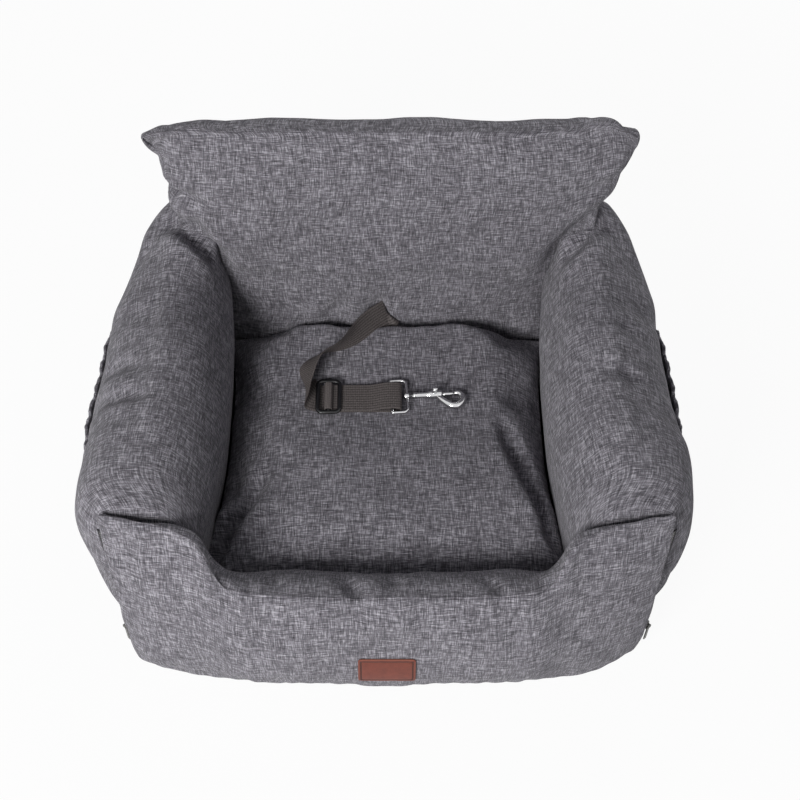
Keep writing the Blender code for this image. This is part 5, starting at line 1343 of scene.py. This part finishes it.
# %% The leather label
LABEL_WIDTH, LABEL_HEIGHT, LABEL_LOW = 0.0600, 0.0400, 0.0440
LABEL_POWER = 16
SCORE_INSET = 0.0030
LABEL_PROFILE = ((0.0006, 0.0000), (0.0000, 0.0003), (0.0000, 0.0012), (0.0004, 0.0015), (0.0010, 0.0016),
                 (0.0022, 0.0016), (0.0025, 0.0014), (0.0027, 0.0012), (0.0033, 0.0012), (0.0035, 0.0014),
                 (0.0038, 0.0016), (0.0060, 0.0016), (0.0090, 0.0016), (0.0125, 0.0016), (0.0165, 0.0016))
middle_ring = front[len(front) // 2, :FACE]
label_z = LABEL_LOW + LABEL_HEIGHT / 2


def label_ring(inset, out):
    """The label's outline made smaller by an inset, standing out from the bolster's face."""
    x, z = superellipse(LABEL_WIDTH / 2 - inset, LABEL_HEIGHT / 2 - inset, LABEL_POWER, 128).T
    face = np.interp(z + label_z, middle_ring[:, 2], middle_ring[:, 1])
    return np.stack([x, face - CLEAR - out, z + label_z], 1)


label = tube_piece("brown_leather_label", np.stack([label_ring(inset, out) for inset, out in LABEL_PROFILE]))
score = label_ring(SCORE_INSET, 0.0012 + STITCH_RADIUS * 0.5)
label_sewing = stitches("label_stitches", [np.concatenate([score, score[:1]])], (0, -1, 0), 0.0026, 0.0020)
print("label", len(label.data.polygons), "faces")

# %% [markdown]
# Under everything lies a firm sheet with rubber dots that keep the seat from sliding on the car's seat.
# Its outline follows the bolsters a little further in, and the dots are low domes in a honeycomb order.

# %% The underside
PANEL_INSET, DOT_SPACING, DOT_RADIUS, DOT_HEIGHT = 0.0060, 0.0190, 0.0030, 0.0010
PANEL_TOP = 0.0025
foot = front_rings(np.linspace(-1, 1, 41))[:, 0, :2]


def foot_edge(name):
    """The outermost points of a side bolster that stand on the base, one for each of its rings."""
    rings = bolster_rings[name][CAP_ROWS + 2:-CAP_ROWS - 1]
    standing = np.where(rings[:, :, 2] < BASE_TOP + CLEAR, np.abs(rings[:, :, 0]), 0)
    return rings[np.arange(len(rings)), standing.argmax(axis=1), :2]


outline = np.concatenate([foot, foot_edge("right"), foot_edge("left")[::-1]])
outline = outline * (1 - PANEL_INSET / np.abs(outline).max(axis=0))
panel = tube_piece("underside_panel", np.stack([
    np.column_stack([outline * share, np.full(len(outline), z)])
    for share, z in ((0.994, DOT_HEIGHT), (1.0, DOT_HEIGHT + CLEAR), (1.0, PANEL_TOP - CLEAR),
                     (0.994, PANEL_TOP))]))
i, j = np.meshgrid(np.arange(-18, 19), np.arange(-16, 17))
dots = np.stack([(i + 0.5 * (j % 2)) * DOT_SPACING, j * DOT_SPACING * math.sqrt(3) / 2], -1).reshape(-1, 2)
loop_line = np.concatenate([outline, outline[:1]])
far = lengths(loop_line)
at = np.linspace(0, far[-1], 800)
dense = np.column_stack([np.interp(at, far, loop_line[:, axis]) for axis in (0, 1)])
turn = np.arctan2(dense[:, 1], dense[:, 0])
order = np.argsort(turn)
limit = np.interp(np.arctan2(dots[:, 1], dots[:, 0]), turn[order], np.linalg.norm(dense, axis=1)[order],
                  period=2 * math.pi)
dots = dots[np.linalg.norm(dots, axis=1) < limit - 0.012]
DOME = turned([(0.0001, DOT_RADIUS), (-DOT_HEIGHT * 0.5, DOT_RADIUS * 0.95),
               (-DOT_HEIGHT * 0.85, DOT_RADIUS * 0.7), (-DOT_HEIGHT, DOT_RADIUS * 0.3)], axis="Z", count=8)
rubber_dots = copies("rubber_dots", DOME, np.column_stack([dots, np.full(len(dots), DOT_HEIGHT)]),
                     np.tile(np.eye(3), (len(dots), 1, 1)))
print("underside with", len(dots), "dots")

# %% [markdown]
# The cover is a grey melange: light, middle and dark yarns spun together and woven one over, one under,
# so short streaks run both ways across a fine basket weave. In Blender, a noise pattern squeezed in one
# direction gives long thin streaks. The cloth shows the mean of two of them, one along it and one across,
# and the same pattern lifts the surface a little, so the light catches the weave. Its colour is also
# painted lighter on the yarn crowns and darker between the yarns: painted light and shade of the weave.

# %% Materials
def new_material(name, roughness, metallic=0.0):
    """A Principled material, its node tree and its surface node."""
    made = bpy.data.materials.new(name)
    made.use_nodes = True
    surface = made.node_tree.nodes["Principled BSDF"]
    surface.inputs["Roughness"].default_value = roughness
    surface.inputs["Metallic"].default_value = metallic
    return made, made.node_tree, surface


def node(tree, kind, inputs=(), **settings):
    """A node with its settings made and its inputs given as values or as links from other sockets."""
    made = tree.nodes.new(kind)
    for name, value in settings.items():
        setattr(made, name, value)
    for name, value in dict(inputs).items():
        socket = made.inputs[name]
        if isinstance(value, bpy.types.NodeSocket):
            tree.links.new(value, socket)
        else:
            socket.default_value = value
    return made


def noise(tree, place, scale, detail, **more):
    """A soft random pattern with so many features a metre."""
    return node(tree, "ShaderNodeTexNoise", {"Vector": place, "Scale": scale, "Detail": detail,
                                             **more}).outputs["Fac"]


def cloth_place(tree):
    """The place on the cloth in metres, and its two parts."""
    cloth = node(tree, "ShaderNodeUVMap", uv_map="cloth_metres").outputs["UV"]
    parts = node(tree, "ShaderNodeSeparateXYZ", {"Vector": cloth}).outputs
    return cloth, parts["X"], parts["Y"]


def maths(tree, operation, one, two=0.0):
    """The result of a sum of one or two values."""
    return node(tree, "ShaderNodeMath", {0: one, 1: two}, operation=operation).outputs[0]


def ramp(tree, factor, stops):
    """A colour ramp through (place, colour) stops."""
    made = node(tree, "ShaderNodeValToRGB", {"Fac": factor})
    line = made.color_ramp.elements
    while len(line) < len(stops):
        line.new(0.5)
    for element, (place, colour) in zip(line, stops):
        element.position, element.color = place, (*colour, 1)
    return made.outputs["Color"]


def bump(tree, surface, height, distance, strength):
    """Light the surface as if a pattern lifted it by up to a distance."""
    made = node(tree, "ShaderNodeBump", {"Height": height, "Distance": distance, "Strength": strength})
    tree.links.new(made.outputs["Normal"], surface.inputs["Normal"])


YARN = 0.0008                     # from one yarn to the next
SLUBS = 70.0                      # changes of tone in a metre of yarn
CLOTH_DARK = (0.022, 0.020, 0.024)
CLOTH_MIDDLE = (0.170, 0.160, 0.182)
CLOTH_LIGHT = (0.620, 0.600, 0.650)


def melange():
    """Light and dark yarns both ways. Each yarn keeps its number, the whole part of the place over the
    yarn's width, and its tone changes only slowly along it. The cloth shows the mean of both yarns, with
    painted light on the yarn crowns and painted shade between the yarns."""
    made, tree, surface = new_material("grey_melange_cloth", 0.92)
    cloth, u, v = cloth_place(tree)
    yarn_u, yarn_v = maths(tree, "DIVIDE", u, YARN), maths(tree, "DIVIDE", v, YARN)
    number_u, number_v = maths(tree, "FLOOR", yarn_u), maths(tree, "FLOOR", yarn_v)

    def yarns(number, along, shift):
        """The tone of the yarns that run one way: it hangs on the yarn's number and the place along it."""
        place = node(tree, "ShaderNodeCombineXYZ", {"X": maths(tree, "MULTIPLY", number, 3.71),
                                                    "Y": maths(tree, "MULTIPLY", along, SLUBS), "Z": shift})
        return noise(tree, place.outputs["Vector"], 1.0, 2.0, Roughness=0.6)

    warp, weft = yarns(number_u, v, 0.0), yarns(number_v, u, 9.0)
    tone = maths(tree, "MULTIPLY", maths(tree, "ADD", warp, weft), 0.5)
    broad = noise(tree, cloth, 30.0, 3.0)
    tone = maths(tree, "ADD", tone, maths(tree, "MULTIPLY", maths(tree, "SUBTRACT", broad, 0.5), 0.05))
    # Painted light and shade of the weave: the colour is made lighter on the yarn crowns and darker between
    # the yarns.
    ridge_u = maths(tree, "ABSOLUTE", maths(tree, "SINE", maths(tree, "MULTIPLY", yarn_u, math.pi)))
    ridge_v = maths(tree, "ABSOLUTE", maths(tree, "SINE", maths(tree, "MULTIPLY", yarn_v, math.pi)))
    weave_relief_and_shade = maths(tree, "MULTIPLY", ridge_u, ridge_v)
    tone = maths(tree, "ADD", tone, maths(tree, "MULTIPLY", maths(tree, "SUBTRACT", weave_relief_and_shade, 0.42), 0.10))
    colour = ramp(tree, tone, ((0.31, CLOTH_DARK), (0.50, CLOTH_MIDDLE), (0.68, CLOTH_LIGHT)))
    tree.links.new(colour, surface.inputs["Base Color"])
    surface.inputs["Sheen Weight"].default_value = 0.12
    surface.inputs["Sheen Roughness"].default_value = 0.6
    surface.inputs["Specular IOR Level"].default_value = 0.2
    bump(tree, surface, maths(tree, "ADD", weave_relief_and_shade, tone), 0.00025, 0.7)
    return made


def ribbed_webbing():
    """Dark taupe yarn with fine cross threads and uneven lightness, and painted shade that darkens it between
    the ribs.
    """
    made, tree, surface = new_material("taupe_webbing", 0.72)
    cloth, _, along = cloth_place(tree)
    mapped = node(tree, "ShaderNodeMapping", {"Vector": cloth, "Scale": (1400, 500, 1)})
    fine = noise(tree, mapped.outputs["Vector"], 1.0, 2.0, Roughness=0.6)
    cross = maths(tree, "SINE", maths(tree, "MULTIPLY", along, 2 * math.pi / 0.0021))
    groove = node(tree, "ShaderNodeAttribute", attribute_name="groove").outputs["Fac"]
    tone = maths(tree, "ADD", fine, maths(tree, "MULTIPLY", cross, 0.08))
    # Painted shade: the colour is darker between the ribs, by how deep each point lies in a groove.
    tone = maths(tree, "SUBTRACT", tone, maths(tree, "MULTIPLY", groove, 0.28))
    colour = ramp(tree, tone, ((0.15, (0.036, 0.030, 0.029)), (0.50, (0.128, 0.111, 0.108)),
                               (0.80, (0.240, 0.215, 0.208))))
    tree.links.new(colour, surface.inputs["Base Color"])
    surface.inputs["Specular IOR Level"].default_value = 0.35
    bump(tree, surface, tone, 0.0003, 0.8)
    return made


def plain(name, colour, roughness, metallic=0.0, grain=200.0, spread=0.12, lift=0.00005):
    """A surface whose colour and height vary with a fine noise, as moulded, cast or foamed things do."""
    made, tree, surface = new_material(name, roughness, metallic)
    place = node(tree, "ShaderNodeTexCoord").outputs["Object"]
    uneven = noise(tree, place, grain, 3.0)
    low = tuple(c * (1 - spread) for c in colour)
    high = tuple(min(1, c * (1 + spread)) for c in colour)
    tree.links.new(ramp(tree, uneven, ((0.3, low), (0.7, high))), surface.inputs["Base Color"])
    bump(tree, surface, uneven, lift, 0.5)
    return made


def brown_leather():
    """Smooth brown leather with a fine grain, burnt dark in the scored line and lighter at the cut edge."""
    made, tree, surface = new_material("brown_leather", 0.55)
    place = node(tree, "ShaderNodeTexCoord").outputs["Object"]
    grain = node(tree, "ShaderNodeTexVoronoi", {"Vector": place, "Scale": 1100.0}).outputs["Distance"]
    broad = noise(tree, place, 160.0, 4.0)
    tone = maths(tree, "ADD", maths(tree, "MULTIPLY", grain, 0.25), maths(tree, "MULTIPLY", broad, 0.75))
    colour = ramp(tree, tone, ((0.30, (0.130, 0.027, 0.015)), (0.65, (0.190, 0.042, 0.023))))
    parts = node(tree, "ShaderNodeSeparateXYZ", {"Vector": place})
    from_side = maths(tree, "SUBTRACT", LABEL_WIDTH / 2, maths(tree, "ABSOLUTE", parts.outputs["X"]))
    upright = maths(tree, "ABSOLUTE", maths(tree, "SUBTRACT", parts.outputs["Z"], label_z))
    inset = maths(tree, "MINIMUM", from_side, maths(tree, "SUBTRACT", LABEL_HEIGHT / 2, upright))
    white, black = (1, 1, 1), (0, 0, 0)
    scored = ((0.20, black), (0.26, white), (0.34, white), (0.42, black))
    cut = ((0.02, white), (0.10, black))
    for stops, tint in ((scored, (0.045, 0.016, 0.012, 1)), (cut, (0.240, 0.075, 0.045, 1))):
        share = ramp(tree, maths(tree, "DIVIDE", inset, 0.01), stops)
        colour = node(tree, "ShaderNodeMix", {6: colour, 7: tint, 0: share}, data_type="RGBA").outputs[2]
    tree.links.new(colour, surface.inputs["Base Color"])
    bump(tree, surface, tone, 0.0001, 0.6)
    return made


finishes = {
    "cloth": melange(),
    "webbing": ribbed_webbing(),
    "black_plastic": plain("black_glossy_plastic", (0.006, 0.006, 0.007), 0.22, grain=400),
    "chrome": plain("chrome_plating", (0.62, 0.62, 0.63), 0.13, 1.0, grain=300, spread=0.03, lift=0.00002),
    "spring_steel": plain("spring_wire", (0.50, 0.50, 0.51), 0.28, 1.0, grain=600),
    "zip_metal": plain("zip_gunmetal", (0.16, 0.155, 0.15), 0.32, 1.0, grain=500),
    "zip_tape": plain("zip_tape_cloth", (0.050, 0.048, 0.052), 0.85, grain=900, spread=0.3, lift=0.0001),
    "foam": plain("seat_foam", (0.52, 0.50, 0.42), 0.95, grain=500, spread=0.15, lift=0.0004),
    "fibre": plain("polyester_fill", (0.80, 0.79, 0.76), 0.95, grain=150, spread=0.1, lift=0.0006),
    "elastic": plain("gathered_elastic", (0.120, 0.114, 0.124), 0.85, grain=900, spread=0.25, lift=0.0001),
    "underside": plain("non_slip_underside", (0.028, 0.025, 0.024), 0.78, grain=700, spread=0.3, lift=0.0001),
    "leather": brown_leather(),
    "thread_grey": plain("grey_thread", (0.070, 0.066, 0.072), 0.75, grain=1500, spread=0.2, lift=0.0001),
    "thread": plain("sewing_thread", (0.090, 0.030, 0.020), 0.75, grain=1500, spread=0.2, lift=0.0001),
}
for name, thing in nodes.items():
    slots = [m["slot"] for m in frame["record"]["materials"] if name in m.get("nodes", [])]
    if slots:
        thing.data.materials.clear()
        thing.data.materials.append(finishes[slots[0]])
print("finishes", len(finishes))


def paint(thing, slot):
    """Give a piece one finish."""
    thing.data.materials.clear()
    thing.data.materials.append(finishes[slot])
    return thing


for thing in (strap, loop, saddle):
    paint(thing, "webbing")
for thing in (slide_frame, slide_bar):
    paint(thing, "black_plastic")
for thing in (eye, hook, bolt):
    paint(thing, "chrome")

dress(paint(front_bolster, "cloth"), "seat", "cloth", "front_bolster_cover", "front_bolster_fill")
for name in ("left", "right"):
    dress(paint(bolsters[name], "cloth"), "seat", "cloth", name + "_bolster_cover", name + "_bolster_fill")
dress(paint(seat_cushion, "cloth"), "seat", "cloth", "seat_cover", "seat_pad")
dress(paint(back_cushion, "cloth"), "seat", "cloth", "back_cushion_cover", "back_cushion_fill")
for name, side in SIDES:
    panel_cloth, hem, sewing = pockets[name]
    dress(paint(panel_cloth, "cloth"), "seat", "cloth", name + "_side_pocket")
    dress(paint(hem, "cloth"), "seat", "elastic", name + "_pocket_elastic")
    dress(paint(sewing, "thread_grey"), "seat", "thread")
    tape, row = corner_zips[name]
    dress(paint(tape, "zip_tape"), "seat", "zip_tape", name + "_corner_zip")
    dress(paint(row, "zip_metal"), "seat", "zip_metal", name + "_corner_zip")
    webbing, sewing = belt_loops[name]
    dress(paint(webbing, "webbing"), "seat", "webbing", name + "_belt_loop")
    dress(paint(sewing, "thread_grey"), "seat", "thread")
for thing, slot in zip(back_zip_pieces, ("zip_tape", "zip_tape", "zip_metal", "thread")):
    paint(thing, "thread_grey" if slot == "thread" else slot)
    dress(thing, "seat", slot, *(["back_zip"] if slot != "thread" else []))
dress(paint(label, "leather"), "seat", "leather", "leather_label")
dress(paint(label_sewing, "thread"), "seat", "thread", "label_stitching")
dress(paint(panel, "underside"), "seat", "underside", "base_panel")
dress(paint(rubber_dots, "underside"), "seat", "underside", "base_panel")

# %% [markdown]
# The light is a photographer's: one large soft lamp in front on the left, a weaker one on the right,
# one behind for the back and its top edge, and a pale surround. The background is white because the
# camera sees the world and the floor as white; the object gets no extra light from that, and its soft
# shadow stays on the floor.

# %% Floor and light
def lamp(name, place, target, size, power):
    """A square area lamp at a place, facing a target: its -Z points along the line between them."""
    data = bpy.data.lights.new(name, "AREA")
    data.shape, data.size, data.energy = "SQUARE", size, power
    made = bpy.data.objects.new(name, data)
    way = np.asarray(target, float) - np.asarray(place, float)
    way = way / np.linalg.norm(way)
    made.location = place
    made.rotation_euler = (math.acos(-way[2]), 0, math.atan2(way[1], way[0]) - math.pi / 2)
    scene.collection.objects.link(made)


LAMP_TARGET = (0, 0, 0.15)
lamp("key", (-1.00, -1.95, 1.45), LAMP_TARGET, 0.9, 52)
lamp("fill", (1.50, -1.50, 1.60), LAMP_TARGET, 1.6, 3)
lamp("back", (0.50, 2.30, 1.20), LAMP_TARGET, 1.8, 26)


def unless_seen(tree, seen_value, lit):
    """Mix a shader with plain white by what looks at it: the camera, a mirror or glass sees white."""
    path = node(tree, "ShaderNodeLightPath").outputs
    seen = maths(tree, "MAXIMUM", maths(tree, "MAXIMUM", path["Is Camera Ray"], path["Is Glossy Ray"]),
                 path["Is Transmission Ray"])
    mixed = node(tree, "ShaderNodeMixShader", {"Fac": maths(tree, "MULTIPLY", seen, seen_value), 1: lit[0],
                                               2: lit[1]})
    return mixed.outputs[0]


world = bpy.data.worlds.new("surround")
scene.world = world
world.use_nodes = True
tree = world.node_tree
surround = tree.nodes["Background"]
surround.inputs["Color"].default_value = (0.93, 0.95, 1.0, 1)
surround.inputs["Strength"].default_value = 0.12
white = node(tree, "ShaderNodeBackground", {"Color": (1, 1, 1, 1), "Strength": 1.0})
tree.links.new(unless_seen(tree, 1.0, (surround.outputs[0], white.outputs[0])),
               tree.nodes["World Output"].inputs["Surface"])

FLOOR_HALF = 6.0
floor = piece("floor", [(x * FLOOR_HALF, y * FLOOR_HALF, 0) for x, y in ((-1, -1), (1, -1), (1, 1), (-1, 1))],
              [(0, 1, 2, 3)], smooth=False)
made, tree, surface = new_material("pale_floor", 0.9)
surface.inputs["Base Color"].default_value = (0.86, 0.86, 0.86, 1)
white = node(tree, "ShaderNodeEmission", {"Color": (1, 1, 1, 1), "Strength": 1.0})
tree.links.new(unless_seen(tree, 0.94, (surface.outputs[0], white.outputs[0])),
               tree.nodes["Material Output"].inputs["Surface"])
floor.data.materials.append(made)
scene.view_settings.view_transform = "Standard"
print("lit")

# %% Bring the scene up to date
bpy.context.view_layer.update()
